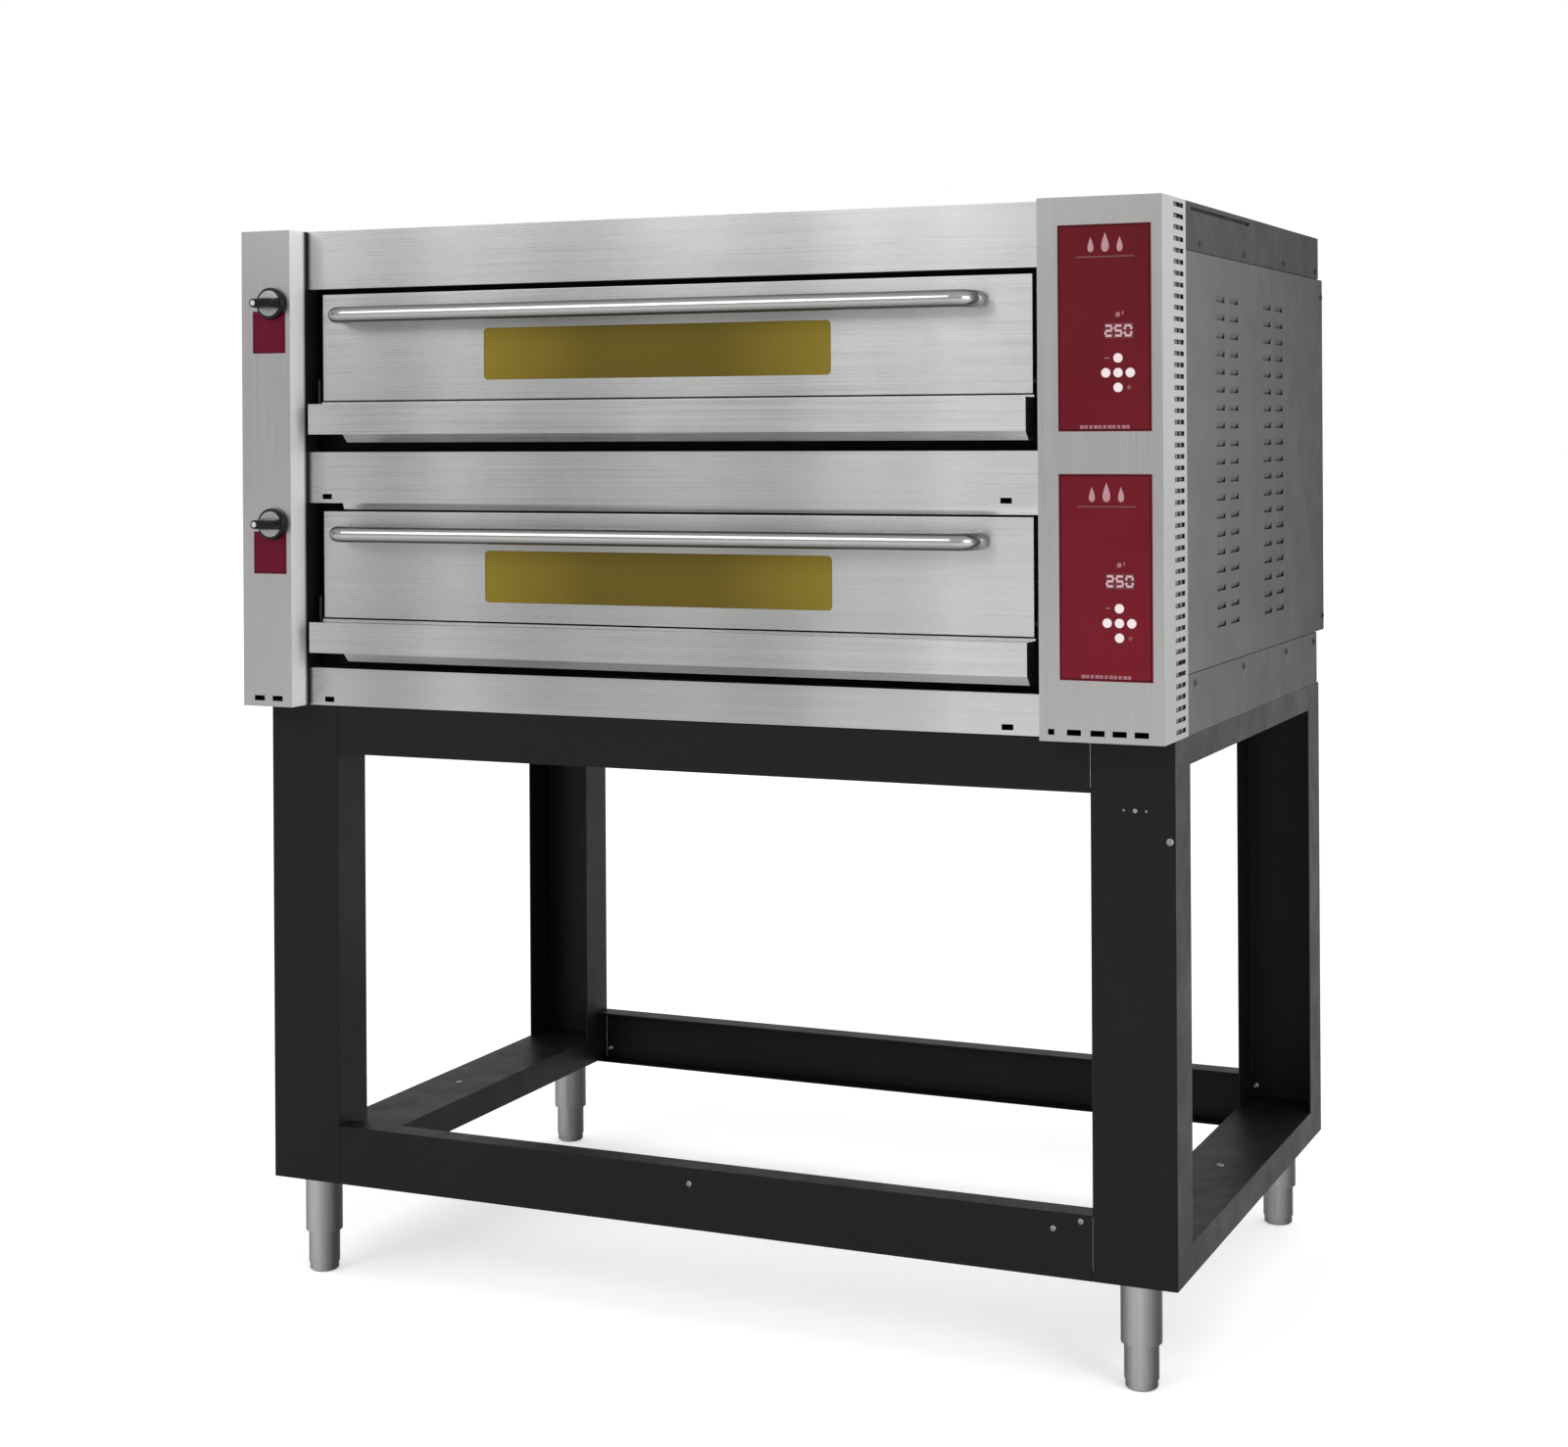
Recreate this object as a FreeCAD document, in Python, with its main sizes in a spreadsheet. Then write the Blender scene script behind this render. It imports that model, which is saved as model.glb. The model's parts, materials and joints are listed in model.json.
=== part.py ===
import FreeCAD, Part
import math
import os
import re
import Sketcher

# Twin-deck electric pizza oven on a welded steel stand.
# Frame: +Z up, +X to the right of a person facing the doors, -Y towards that
# person.  Origin: on the floor, under the middle of the whole object.
# All lengths are millimetres.

# ------------------------------------------------------- driving dimensions
# Alias, value, note.  "Above the base" means above base_z.
DIMENSIONS = (
    ("half_width", 744, "half of the overall width"),
    ("base_z", 903, "floor to the underside of the oven body"),
    ("body_height", 745, "height of the oven body"),
    ("deck_pitch", 340, "height from one deck to the next"),
    ("column_y", -498, "front plane of the two columns"),
    ("front_y", -450.5, "front plane of fascias and doors"),
    ("rear_y", 502, "outer face of the rear panel"),
    ("column_left", -654, "inner edge of the left column"),
    ("column_right", 567, "inner edge of the right column"),
    ("skin", 1.2, "thin casing sheet"),
    ("sheet", 1.5, "front sheet"),
    ("return_depth", 122, "depth of the columns' slotted side return"),
    ("cover_skirt", 68, "depth of the top cover's skirt"),
    ("cover_rear", 472, "rear end of the top cover"),
    ("pan_skirt", 85, "height of the base pan's skirt"),
    ("pan_rear", 446, "rear end of the base pan"),
    ("top_fascia_height", 91.5, "height of the top fascia"),
    ("mid_fascia_low", 318, "lower edge of the middle fascia above the base"),
    ("mid_fascia_high", 398, "upper edge of the middle fascia above the base"),
    ("low_fascia_height", 59, "height of the lower fascia"),
    ("door_left", -625, "left end of a door"),
    ("door_right", 545, "right end of a door"),
    ("door_bottom", 138, "bottom of the lower door above the base"),
    ("door_top", 305, "top of the lower door above the base"),
    ("door_depth", 38, "thickness of a door"),
    ("window_left", -334, "left side of a window"),
    ("window_right", 240, "right side of a window"),
    ("window_bottom", 168, "bottom of the lower window above the base"),
    ("window_top", 247, "top of the lower window above the base"),
    ("window_radius", 7, "corner radius of a window"),
    ("pane", 5, "thickness of a glass pane"),
    ("hinge_z", 156, "lower door's pivot above the base"),
    ("hinge_inset", 12, "door pivot behind the door's front face"),
    ("pin_radius", 6, "radius of a hinge pin"),
    ("run_gap", 0.05, "radial running clearance"),
    ("grip_z", 271, "height of the lower handle above the base"),
    ("grip_out", 42.5, "handle axis in front of the door"),
    ("grip_radius", 12.5, "radius of the handle tube"),
    ("grip_left", -584, "handle's left leg"),
    ("grip_right", 466, "handle's right leg"),
    ("grip_bend", 27, "bend radius of the handle"),
    ("sill_top", 133, "top of the lower sill above the base"),
    ("sill_face", 86, "bottom of the sill's face above the base"),
    ("sill_bevel", 73, "bottom of the sill's bevel above the base"),
    ("sill_out", 39.5, "sill's face in front of the doors"),
    ("cavity_left", -569, "left wall of a baking chamber"),
    ("cavity_right", 481, "right wall of a baking chamber"),
    ("cavity_front", -405.5, "front of a baking chamber"),
    ("cavity_back", 294.5, "rear wall of a baking chamber"),
    ("cavity_bottom", 112, "underside of the lower chamber above the base"),
    ("cavity_top", 290, "roof of the lower chamber above the base"),
    ("wool_reach", 61.5, "outer face of the wool beyond the side walls"),
    ("wool_rear", 62, "outer face of the wool behind the rear wall"),
    ("stone_top", 152, "baking surface of the lower chamber above the base"),
    ("stone_thick", 17, "thickness of a hearth stone"),
    ("rod_radius", 4.25, "radius of a heating rod"),
    ("rod_start", 70, "centre of a hairpin's bend from the left wall"),
    ("hairpin_half", 45, "half of a hairpin's width"),
    ("lamp_z", 232, "lower chamber's lamp and probe above the base"),
    ("knob_x", -686, "damper knob's axis"),
    ("knob_z", 286, "lower damper knob above the base"),
    ("knob_pitch", 345, "height from one knob to the next"),
    ("knob_radius", 25, "radius of a damper knob"),
    ("knob_depth", 34, "depth of a damper knob"),
    ("shaft_radius", 4, "radius of a damper shaft"),
    ("spigot_radius", 25, "radius of a steam spigot"),
    ("spigot_length", 30, "length of a steam spigot behind the rear panel"),
    ("spigot_drop", 42, "spigot axis below the knob's axis"),
    ("panel_left", 597, "left side of a control panel"),
    ("panel_right", 728.5, "right side of a control panel"),
    ("panel_bottom", 84.5, "bottom of the lower control panel above the base"),
    ("panel_top", 366.5, "top of the lower control panel above the base"),
    ("key_x", 682, "middle key of a panel"),
    ("key_z", 164, "middle key of the lower panel above the base"),
    ("key_across", 17.2, "key spacing across"),
    ("key_rise", 20, "key spacing up and down"),
    ("key_radius", 6.6, "radius of a key cap"),
    ("key_gap", 0.3, "radial gap around a key cap"),
    ("stand_left", -726, "left side of the stand"),
    ("stand_right", 744, "right side of the stand"),
    ("stand_front", -446.4, "front of the stand"),
    ("stand_back", 460, "rear of the stand"),
    ("stand_bottom", 151, "underside of the stand's lower rails"),
    ("stand_sheet", 2.5, "stand sheet thickness"),
    ("leg_width", 121, "width of a leg's web"),
    ("leg_depth", 80, "depth of a leg's side"),
    ("leg_return", 80, "depth of a leg's inner return"),
    ("rail_flange", 40, "depth of a cross rail's flanges"),
    ("top_rail_height", 76, "height of an upper cross rail"),
    ("low_rail_height", 91, "height of a lower cross rail"),
    ("top_side_height", 40, "height of an upper side rail"),
    ("low_side_height", 47, "height of a lower side rail"),
    ("foot_inset_x", 64, "foot axis from the stand's side"),
    ("foot_inset_y", 42, "foot axis from the stand's front and rear"),
    ("sleeve_radius", 29, "radius of a foot's sleeve"),
    ("sleeve_bottom", 64, "bottom of a foot's sleeve above the floor"),
    ("sleeve_roof", 6, "thickness of a sleeve's closed top"),
    ("foot_radius", 24.5, "radius of an adjustable foot"),
    ("fan_x", 655, "cooling fan's axis, sideways"),
    ("fan_z", 362, "cooling fan's axis above the base"),
    ("cable_z", 130, "supply cable's axis above the base"),
)
VALUES = {alias: float(value) for alias, value, _ in DIMENSIONS}

doc = FreeCAD.newDocument("TwinDeckOven")
dims = doc.addObject("Spreadsheet::Sheet", "Dims")
for line, (alias, value, note) in enumerate(DIMENSIONS, 1):
    dims.set(f"A{line}", note)
    dims.set(f"B{line}", str(value))
    dims.setAlias(f"B{line}", alias)
doc.recompute()

# Places shared by several pieces.
TOP = "base_z+body_height"
INNER_LEFT, INNER_RIGHT = "-half_width+skin", "half_width-skin"
REAR_LEFT, REAR_RIGHT = "-half_width+skin+0.5", "half_width-skin-0.5"
SIDE_FRONT = "column_y+return_depth+1"
SIDE_LOW, SIDE_HIGH = "base_z+pan_skirt+1", TOP + "-cover_skirt-1"
COVER_FRONT = "front_y+31.5"
COLUMN_BACK = "front_y+31"
FASCIA_LEFT, FASCIA_RIGHT = "column_left+1", "column_right-1"
BULKHEAD_FRONT = "front_y+43"
# Each deck's name, base level and knob level.
DECKS = (
    ("lower", "base_z", "base_z+knob_z"),
    ("upper", "base_z+deck_pitch", "base_z+knob_z+knob_pitch"),
)


# ------------------------------------------------------------------ helpers
# A place or size is a number or a sum of aliases, such as "column_y+skin-2".
WORD = re.compile(r"[A-Za-z_]\w*")


def formula(text):
    """The text as an expression on the spreadsheet."""
    return WORD.sub(lambda match: "Dims." + match.group(0), str(text))


def value_of(text):
    """The number that a sum of aliases and numbers stands for."""
    terms = re.findall(r"([+-]?)([^+-]+)", str(text))
    return sum((-1 if sign == "-" else 1) * float(VALUES.get(term, term)) for sign, term in terms)


def span(low, high):
    return f"({high})-({low})"


def ordered(first, second):
    return sorted((first, second), key=value_of)


def opposite(sign):
    return "-" if sign == "+" else "+"


def near(number, text):
    return abs(number - value_of(text)) < 0.01


def bind(item, **sizes):
    for name, text in sizes.items():
        item.setExpression(name, formula(text))


def place(item, x, y, z, turn=None):
    if turn is not None:
        item.Placement = FreeCAD.Placement(FreeCAD.Vector(0, 0, 0), turn)
    for axis, text in zip("xyz", (x, y, z)):
        item.setExpression("Placement.Base." + axis, formula(text))


def turned(x, y, z, angle):
    return FreeCAD.Rotation(FreeCAD.Vector(x, y, z), angle)


# Rotations that lay a primitive's own Z along an axis.
TURNS = {
    "x": turned(0, 1, 0, 90),
    "-x": turned(0, 1, 0, -90),
    "y": turned(1, 0, 0, -90),
    "-y": turned(1, 0, 0, 90),
    "z": FreeCAD.Rotation(),
}


def box(name, x0, x1, y0, y1, z0, z1):
    item = doc.addObject("Part::Box", name)
    bind(item, Length=span(x0, x1), Width=span(y0, y1), Height=span(z0, z1))
    place(item, x0, y0, z0)
    return item


def cylinder(name, radius, length, x, y, z, axis="z"):
    item = doc.addObject("Part::Cylinder", name)
    bind(item, Radius=radius, Height=length)
    place(item, x, y, z, TURNS[axis])
    return item


def cone(name, radius, end_radius, length, x, y, z, axis):
    item = doc.addObject("Part::Cone", name)
    bind(item, Radius1=radius, Radius2=end_radius, Height=length)
    place(item, x, y, z, TURNS[axis])
    return item


def fuse(name, items):
    item = doc.addObject("Part::MultiFuse", name)
    item.Shapes = items
    return item


def cut(name, base, tools):
    tool = tools[0] if len(tools) == 1 else fuse(name + "_tools", tools)
    item = doc.addObject("Part::Cut", name)
    item.Base = base
    item.Tool = tool
    return item


NODES = {}


def publish(item, label):
    """Mark an object as one of the exported pieces."""
    item.Label = label
    NODES[label] = item


def publish_group(label, items):
    group = doc.addObject("Part::Compound", label)
    group.Links = items
    publish(group, label)


def rect(a0, a1, b0, b1):
    return [(a0, b0), (a1, b0), (a1, b1), (a0, b1)]


def dimension(sketch, text, kind, *where):
    constraint = Sketcher.Constraint(kind, *where, value_of(text))
    index = sketch.addConstraint(constraint)
    sketch.setExpression(f"Constraints[{index}]", formula(text))


def draw_circle(sketch, x, y, radius):
    centre = FreeCAD.Vector(value_of(x), value_of(y), 0)
    shape = Part.Circle(centre, FreeCAD.Vector(0, 0, 1), value_of(radius))
    curve = sketch.addGeometry(shape, False)
    dimension(sketch, x, "DistanceX", -1, 1, curve, 3)
    dimension(sketch, y, "DistanceY", -1, 1, curve, 3)
    dimension(sketch, radius, "Radius", curve)


def draw_outline(sketch, points):
    corners = [FreeCAD.Vector(value_of(x), value_of(y), 0) for x, y in points]
    following = corners[1:] + corners[:1]
    lines = [sketch.addGeometry(Part.LineSegment(start, end), False)
             for start, end in zip(corners, following)]
    for line, after in zip(lines, lines[1:] + lines[:1]):
        sketch.addConstraint(Sketcher.Constraint("Coincident", line, 2, after, 1))
    for line, (x, y) in zip(lines, points):
        dimension(sketch, x, "DistanceX", -1, 1, line, 1)
        dimension(sketch, y, "DistanceY", -1, 1, line, 1)


def along(edge, axis):
    """Whether an edge runs straight along an axis."""
    if len(edge.Vertexes) != 2:
        return False
    step = edge.Vertexes[1].Point - edge.Vertexes[0].Point
    others = [abs(step.x), abs(step.y), abs(step.z)]
    length = others.pop("xyz".index(axis))
    return length > 1e-3 and max(others) < 1e-3


class Solid:
    """A PartDesign body whose sketches are bound to the sheet.

    A loop is a list of corner points or a tuple (x, y, radius).  Sketches on
    "xy" and "yz" face +Z and +X; those on "xz" face -Y.
    """

    def __init__(self, label):
        self.body = doc.addObject("PartDesign::Body", label)
        self.label = label
        self.count = 0

    def origin(self, role):
        return [item for item in self.body.Origin.OriginFeatures if item.Role == role][0]

    def blank_sketch(self, name, plane):
        sketch = self.body.newObject("Sketcher::SketchObject", name)
        sketch.AttachmentSupport = [(self.origin(plane.upper() + "_Plane"), "")]
        sketch.MapMode = "FlatFace"
        return sketch

    def sketch(self, plane, at, loops):
        self.count += 1
        sketch = self.blank_sketch(f"{self.label}_sk{self.count}", plane)
        offset = span(at, 0) if plane == "xz" else at
        sketch.setExpression("AttachmentOffset.Base.z", formula(offset))
        for loop in loops:
            if isinstance(loop, list):
                draw_outline(sketch, loop)
            else:
                draw_circle(sketch, *loop)
        return sketch

    def feature(self, kind, name):
        feature = self.body.newObject("PartDesign::" + kind, name)
        self.body.Tip = feature
        return feature

    def numbered(self, kind, word):
        return self.feature(kind, f"{self.label}_{word}{self.count}")

    def profiled(self, kind, word, plane, at, loops):
        self.count += 1
        sketch = self.sketch(plane, at, loops)
        feature = self.numbered(kind, word)
        feature.Profile = sketch
        return feature

    def pad(self, plane, low, high, *loops):
        """Add material from low to high across the plane."""
        feature = self.profiled("Pad", "pad", plane, low, loops)
        bind(feature, Length=span(low, high))
        feature.Reversed = plane == "xz"
        return feature

    def pocket(self, plane, low, high, *loops):
        """Remove material from low to high across the plane."""
        feature = self.profiled("Pocket", "cut", plane, low, loops)
        bind(feature, Length=span(low, high))
        feature.Reversed = plane != "xz"
        return feature

    def revolve(self, plane, axis, *loops):
        feature = self.profiled("Revolution", "rev", plane, 0, loops)
        feature.ReferenceAxis = (self.origin(axis), [""])
        feature.Angle = 360

    def row_up(self, original, count, step):
        """Repeat a feature upwards."""
        self.count += 1
        feature = self.numbered("LinearPattern", "row")
        feature.Originals = [original]
        feature.Direction = (self.origin("Z_Axis"), [""])
        feature.Mode = "Extent"
        feature.Occurrences = count
        bind(feature, Length=f"{step}*{count - 1}")

    def ring(self, original, count):
        """Repeat a feature around the body's Y axis."""
        self.count += 1
        feature = self.numbered("PolarPattern", "ring")
        feature.Originals = [original]
        feature.Axis = (self.origin("Y_Axis"), [""])
        feature.Angle = 360
        feature.Occurrences = count

    def round_edges(self, radius, pick):
        doc.recompute()
        base = self.body.Tip
        names = [f"Edge{i}" for i, edge in enumerate(base.Shape.Edges, 1) if pick(edge)]
        self.count += 1
        feature = self.numbered("Fillet", "fil")
        feature.Base = (base, names)
        bind(feature, Radius=radius)

    def tube(self, name, plane, curves, relations, sizes, start, section):
        """Sweep a circle on the xz plane along a sketched path.

        Relations are geometric constraints; sizes are (text, constraint).
        """
        path = self.blank_sketch(name + "_path", plane)
        for curve in curves:
            path.addGeometry(curve, False)
        path.addConstraint([Sketcher.Constraint(*relation) for relation in relations])
        for text, *constraint in sizes:
            dimension(path, text, *constraint)
        profile = self.sketch("xz", start, [section])
        pipe = self.feature("AdditivePipe", name + "_pipe")
        pipe.Profile = profile
        pipe.Spine = (path, [f"Edge{i}" for i in range(1, len(curves) + 1)])

    def move(self, x, y, z):
        place(self.body, x, y, z)

    def publish(self):
        publish(self.body, self.label)


def line(x0, y0, x1, y1):
    return Part.LineSegment(FreeCAD.Vector(x0, y0, 0), FreeCAD.Vector(x1, y1, 0))


def arc(x, y, radius, start, end):
    """Arc from start to end, in quarter turns."""
    circle = Part.Circle(FreeCAD.Vector(x, y, 0), FreeCAD.Vector(0, 0, 1), radius)
    return Part.ArcOfCircle(circle, start * math.pi / 2, end * math.pi / 2)


# ------------------------------------------------------------------- casing
def skirt(solid, low, high, rear):
    """Left, right and rear walls of the base pan or the top cover."""
    for left, right, front in (
        ("-half_width", INNER_LEFT, SIDE_FRONT),
        (INNER_RIGHT, "half_width", SIDE_FRONT),
        (INNER_LEFT, INNER_RIGHT, rear + "-skin"),
    ):
        solid.pad("xy", low, high, rect(left, right, front, rear))


def base_pan():
    pan = Solid("base_pan")
    pan.pad("xy", "base_z", "base_z+skin", rect(INNER_LEFT, INNER_RIGHT, COVER_FRONT, "pan_rear"))
    skirt(pan, "base_z", "base_z+pan_skirt", "pan_rear")
    pan.publish()


def top_cover():
    cover = Solid("top_cover")
    under = TOP + "-skin"
    cover.pad("xy", under, TOP, rect("-half_width", "half_width", SIDE_FRONT, "cover_rear"))
    cover.pad("xy", under, TOP, rect(REAR_LEFT, REAR_RIGHT, COVER_FRONT, SIDE_FRONT))
    skirt(cover, TOP + "-cover_skirt", under, "cover_rear")
    # One long slot high in each side.
    cover.pocket("yz", "-half_width", "half_width", rect(-350, -10, TOP + "-12", TOP + "-7"))
    cover.publish()


LOUVRE_PAIRS = ((-212, -132), (77, 157))  # fronts of the slots, along Y
LOUVRE_LENGTH = 50
LOUVRE_ROWS = 19
LOUVRE_PITCH = 26.2
HOOD_OVERLAP = 2  # hood beyond its slots at each end


def side_panel(side, outer, inward):
    panel = Solid(side + "_side_panel")
    x0, x1 = ordered(outer, f"{outer}{inward}skin")
    panel.pad("xy", SIDE_LOW, SIDE_HIGH, rect(x0, x1, SIDE_FRONT, "rear_y"))
    slots = [rect(front, front + LOUVRE_LENGTH, "base_z+139", "base_z+148")
             for pair in LOUVRE_PAIRS for front in pair]
    first = panel.pocket("yz", x0, x1, *slots)
    panel.row_up(first, LOUVRE_ROWS, LOUVRE_PITCH)
    # Each pair of columns has a sloping hood on the inside.
    # Hood section: depth inward from the panel's outer face, height above the base.
    section = [(outer + inward + depth, "base_z+" + height) for depth, height in (
        ("0.4", "148.2"), ("0.4", "151.5"), ("skin", "151.5"),
        ("skin", "148.6"), ("5", "140"), ("4.2", "139.4"))]
    for front, second in LOUVRE_PAIRS:
        rear = second + LOUVRE_LENGTH + HOOD_OVERLAP
        hood = panel.pad("xz", front - HOOD_OVERLAP, rear, section)
        panel.row_up(hood, LOUVRE_ROWS, LOUVRE_PITCH)
    panel.publish()


def rear_panel():
    panel = Solid("rear_panel")
    inside = "rear_y-skin"

    def flange(low, high, front):
        panel.pad("xy", low, high, rect(REAR_LEFT, REAR_RIGHT, front, inside))

    def vents(left, right, low, count, pitch):
        slot = panel.pocket("xz", inside, "rear_y", rect(left, right, low, low + "+6"))
        panel.row_up(slot, count, pitch)

    panel.pad("xz", inside, "rear_y", rect(REAR_LEFT, REAR_RIGHT, SIDE_LOW, SIDE_HIGH))
    flange(SIDE_HIGH + "-skin", SIDE_HIGH, "cover_rear-3.5")
    flange(SIDE_LOW, SIDE_LOW + "+skin", "pan_rear-skin")
    for _, _, knob in DECKS:
        panel.pocket("xz", inside, "rear_y", ("knob_x", knob + "-spigot_drop", "spigot_radius+1"))
    vents("fan_x-45", "fan_x+45", "base_z+fan_z-46", 8, 12)
    panel.pocket("xz", inside, "rear_y", ("fan_x", "base_z+cable_z", 9.5))
    for left in (-500, 300):
        vents(left, left + 120, "base_z+200", 20, 22)
    panel.publish()


# Columns: centre and width of each slot low in the front face.
LEFT_SLOTS = ((-714, 19), (-681, 19))
RIGHT_SLOTS = ((584, 9), (616.5, 20), (650, 20), (681, 20), (712, 20))

# Each key's name and its offset from the middle key.
KEYS = (
    ("up", "", "+key_rise"),
    ("left", "-key_across", ""),
    ("centre", "", ""),
    ("right", "+key_across", ""),
    ("down", "", "-key_rise"),
)


def key_holes(deck):
    return [("key_x" + across, deck + "+key_z" + rise, "key_radius+key_gap")
            for _, across, rise in KEYS]


def column_cover(side, outer, inner, inward, slots, deck_holes):
    """Folded column; inward leads from its outer edge to its inner edge."""
    cover = Solid(side + "_column_cover")
    outer_in = f"{outer}{inward}skin"
    inner_in = f"{inner}{opposite(inward)}skin"
    back, front_in = "column_y+return_depth", "column_y+skin"
    cover.pad("xy", "base_z", TOP, [
        (outer, back), (outer, "column_y"), (inner, "column_y"), (inner, COLUMN_BACK),
        (inner_in, COLUMN_BACK), (inner_in, front_in), (outer_in, front_in), (outer_in, back)])
    end = rect(*ordered(inner_in, outer_in), front_in, COLUMN_BACK)
    cover.pad("xy", TOP + "-skin", TOP, end)
    cover.pad("xy", "base_z", "base_z+skin", end)
    # A ladder of slots up the side return.
    slot = cover.pocket("yz", *ordered(outer_in, outer),
                        rect("column_y+58", "column_y+109", "base_z+8", "base_z+14.5"))
    cover.row_up(slot, 47, 15.75)
    for x, width in slots:
        cover.pocket("xz", "column_y", front_in,
                     rect(x - width / 2, x + width / 2, "base_z+9", "base_z+17"))
    for holes in deck_holes:
        cover.pocket("xz", "column_y", front_in, *holes)
    cover.publish()


def fascia(label, low, high, top_back, lower_points):
    """Folded sheet between the columns; the Y, Z points close its lower edge."""
    solid = Solid(label)
    solid.pad("yz", FASCIA_LEFT, FASCIA_RIGHT, [
        ("front_y", low), ("front_y", high), (top_back, high), (top_back, high + "-sheet"),
        ("front_y+sheet", high + "-sheet")] + lower_points)
    return solid


def lower_return(low, back):
    """Straight return along the lower edge of a fascia."""
    return [("front_y+sheet", low + "+sheet"), (back, low + "+sheet"), (back, low)]


def fascia_slots(solid, *corners):
    """Small slots in the face, each given by its lower left corner."""
    slots = [rect(x, x + 17, z, z + "+8") for x, z in corners]
    solid.pocket("xz", "front_y", "front_y+sheet", *slots)


def fascias():
    low = TOP + "-top_fascia_height"
    fascia("top_fascia", low, TOP, "front_y+31", lower_return(low, "front_y+16")).publish()

    low = "base_z+mid_fascia_low"
    middle = fascia("middle_fascia", low, "base_z+mid_fascia_high", "front_y+36", [
        ("front_y+sheet", low + "+0.6"), ("front_y+6", low + "-10+0.6"),
        ("front_y+6", low + "-10"), ("front_y+6-1.6", low + "-10")])
    fascia_slots(middle, (-627, low + "+6"), (496, low + "+6"))
    # The sloping lip stops short of the left end.
    middle.pocket("yz", FASCIA_LEFT, "column_left+64",
                  rect("front_y-1", "front_y+17", low + "-12", low + "-0.2"))
    middle.publish()

    lower = fascia("lower_fascia", "base_z", "base_z+low_fascia_height", "front_y+36",
                   lower_return("base_z", COLUMN_BACK))
    fascia_slots(lower, (-625, "base_z+5.5"), (496, "base_z+7"))
    lower.publish()


def door_sills():
    sills = []
    left, right = "door_left-2", "door_right+2"
    face_y, back = "front_y-sill_out", "front_y+41"
    for name, deck, _ in DECKS:
        sill = Solid(name + "_sill")
        top, face, low = deck + "+sill_top", deck + "+sill_face", deck + "+sill_bevel"
        bead = top + "+3"
        # A low bead stands on the sill in front of the door's lower edge.
        outside = [
            (back, top), ("front_y+0.9", top), ("front_y+0.9", bead), ("front_y-0.6", bead),
            ("front_y-0.6", top), (face_y, top), (face_y, face), (face_y + "+13", low),
            ("front_y-6", low)]
        # Inner line of the bend, from the lower lip up to the top sheet.
        inside = [
            ("front_y-6", low + "+sheet"), (face_y + "+13.7", low + "+sheet"),
            (face_y + "+sheet", face + "+0.7"), (face_y + "+sheet", top + "-sheet")]
        sill.pad("yz", left, right, outside + inside + [(back, top + "-sheet")])
        end = [("front_y-6", top + "-sheet")] + inside[::-1]
        sill.pad("yz", left, left + "+sheet", end)
        sill.pad("yz", right + "-sheet", right, end)
        # The lower lip stops short of the left end.
        sill.pocket("yz", left, "door_left+61",
                    rect(face_y + "-1", "front_y-5", low + "-1", face + "-0.4"))
        sills.append(sill.body)
    publish_group("door_sills", sills)


# -------------------------------------------------------------------- frame
def chassis_frame():
    """Front bulkhead with a box-shaped frame of square bars behind it."""
    low, low_top = "base_z+88", "base_z+108"
    high, high_top = TOP + "-25", TOP + "-5"
    front, rear_bar, rear = "cavity_front-1", 448, 468
    far_left, far_right = "-half_width+2", "half_width-2"
    bars = [box("bulkhead", "-half_width+3", "half_width-3", BULKHEAD_FRONT, "cavity_front",
                "base_z+2", TOP + "-3")]
    sides = ((far_left, "-half_width+22"), ("half_width-22", far_right))
    for i, (left, right) in enumerate(sides):
        bars.append(box(f"long_low{i}", left, right, front, rear, low, low_top))
        bars.append(box(f"long_top{i}", left, right, front, rear, high, high_top))
        bars.append(box(f"post{i}", left, right, rear_bar, rear, low, high_top))
    bars.append(box("cross_top", far_left, far_right, rear_bar, rear, high, high_top))
    bars.append(box("cross_low", far_left, far_right, rear_bar, rear, low, low_top))
    frame = fuse("frame_body", bars)
    holes = []
    for name, deck, knob in DECKS:
        holes.append(box(name + "_mouth", "cavity_left", "cavity_right", "front_y+40",
                         "cavity_front+3", deck + "+stone_top-2", deck + "+cavity_top"))
        holes.append(cylinder(name + "_shaft_way", "shaft_radius+4", 20, "knob_x", "front_y+35",
                              knob, "y"))
    publish(cut("chassis_frame", frame, holes), "chassis_frame")


# ---------------------------------------------------------- baking chambers
ROD_PLACES = (-300, -130, 40, 210)  # middle of each hairpin, along Y
WOOL_LEFT, WOOL_RIGHT = "cavity_left-wool_reach", "cavity_right+wool_reach"
WOOL_FRONT, WOOL_BACK = "cavity_front+0.5", "cavity_back+wool_rear"


def chamber_liners():
    plates = []
    left, right = "cavity_left-sheet", "cavity_right+sheet"
    front, back, rear = "cavity_front", "cavity_back", "cavity_back+sheet"
    for name, deck, knob in DECKS:
        low, high = deck + "+cavity_bottom", deck + "+cavity_top"
        ledge = deck + "+stone_top-stone_thick"
        wall = box(name + "_wall_l", left, "cavity_left", front, back, low, high)
        vent = box(name + "_vent_cut", "cavity_left-5", "cavity_left+5", 187, 233,
                   knob + "-68", knob + "-42")
        plates.append(cut(name + "_wall_left", wall, [vent]))
        for part, *bounds in (
            ("wall_right", "cavity_right", right, front, back, low, high),
            ("roof", left, right, front, rear, high, high + "+sheet"),
            ("back", left, right, back, rear, low, high),
            ("floor", "cavity_left", "cavity_right", front, back, low, low + "+sheet"),
            ("ledge_front", "cavity_left", "cavity_right", front, front + "+12",
             ledge + "-4", ledge),
            ("ledge_rear", "cavity_left", "cavity_right", back + "-12", back,
             ledge + "-4", ledge),
        ):
            plates.append(box(f"{name}_{part}", *bounds))
    publish_group("chamber_liners", plates)


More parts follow.
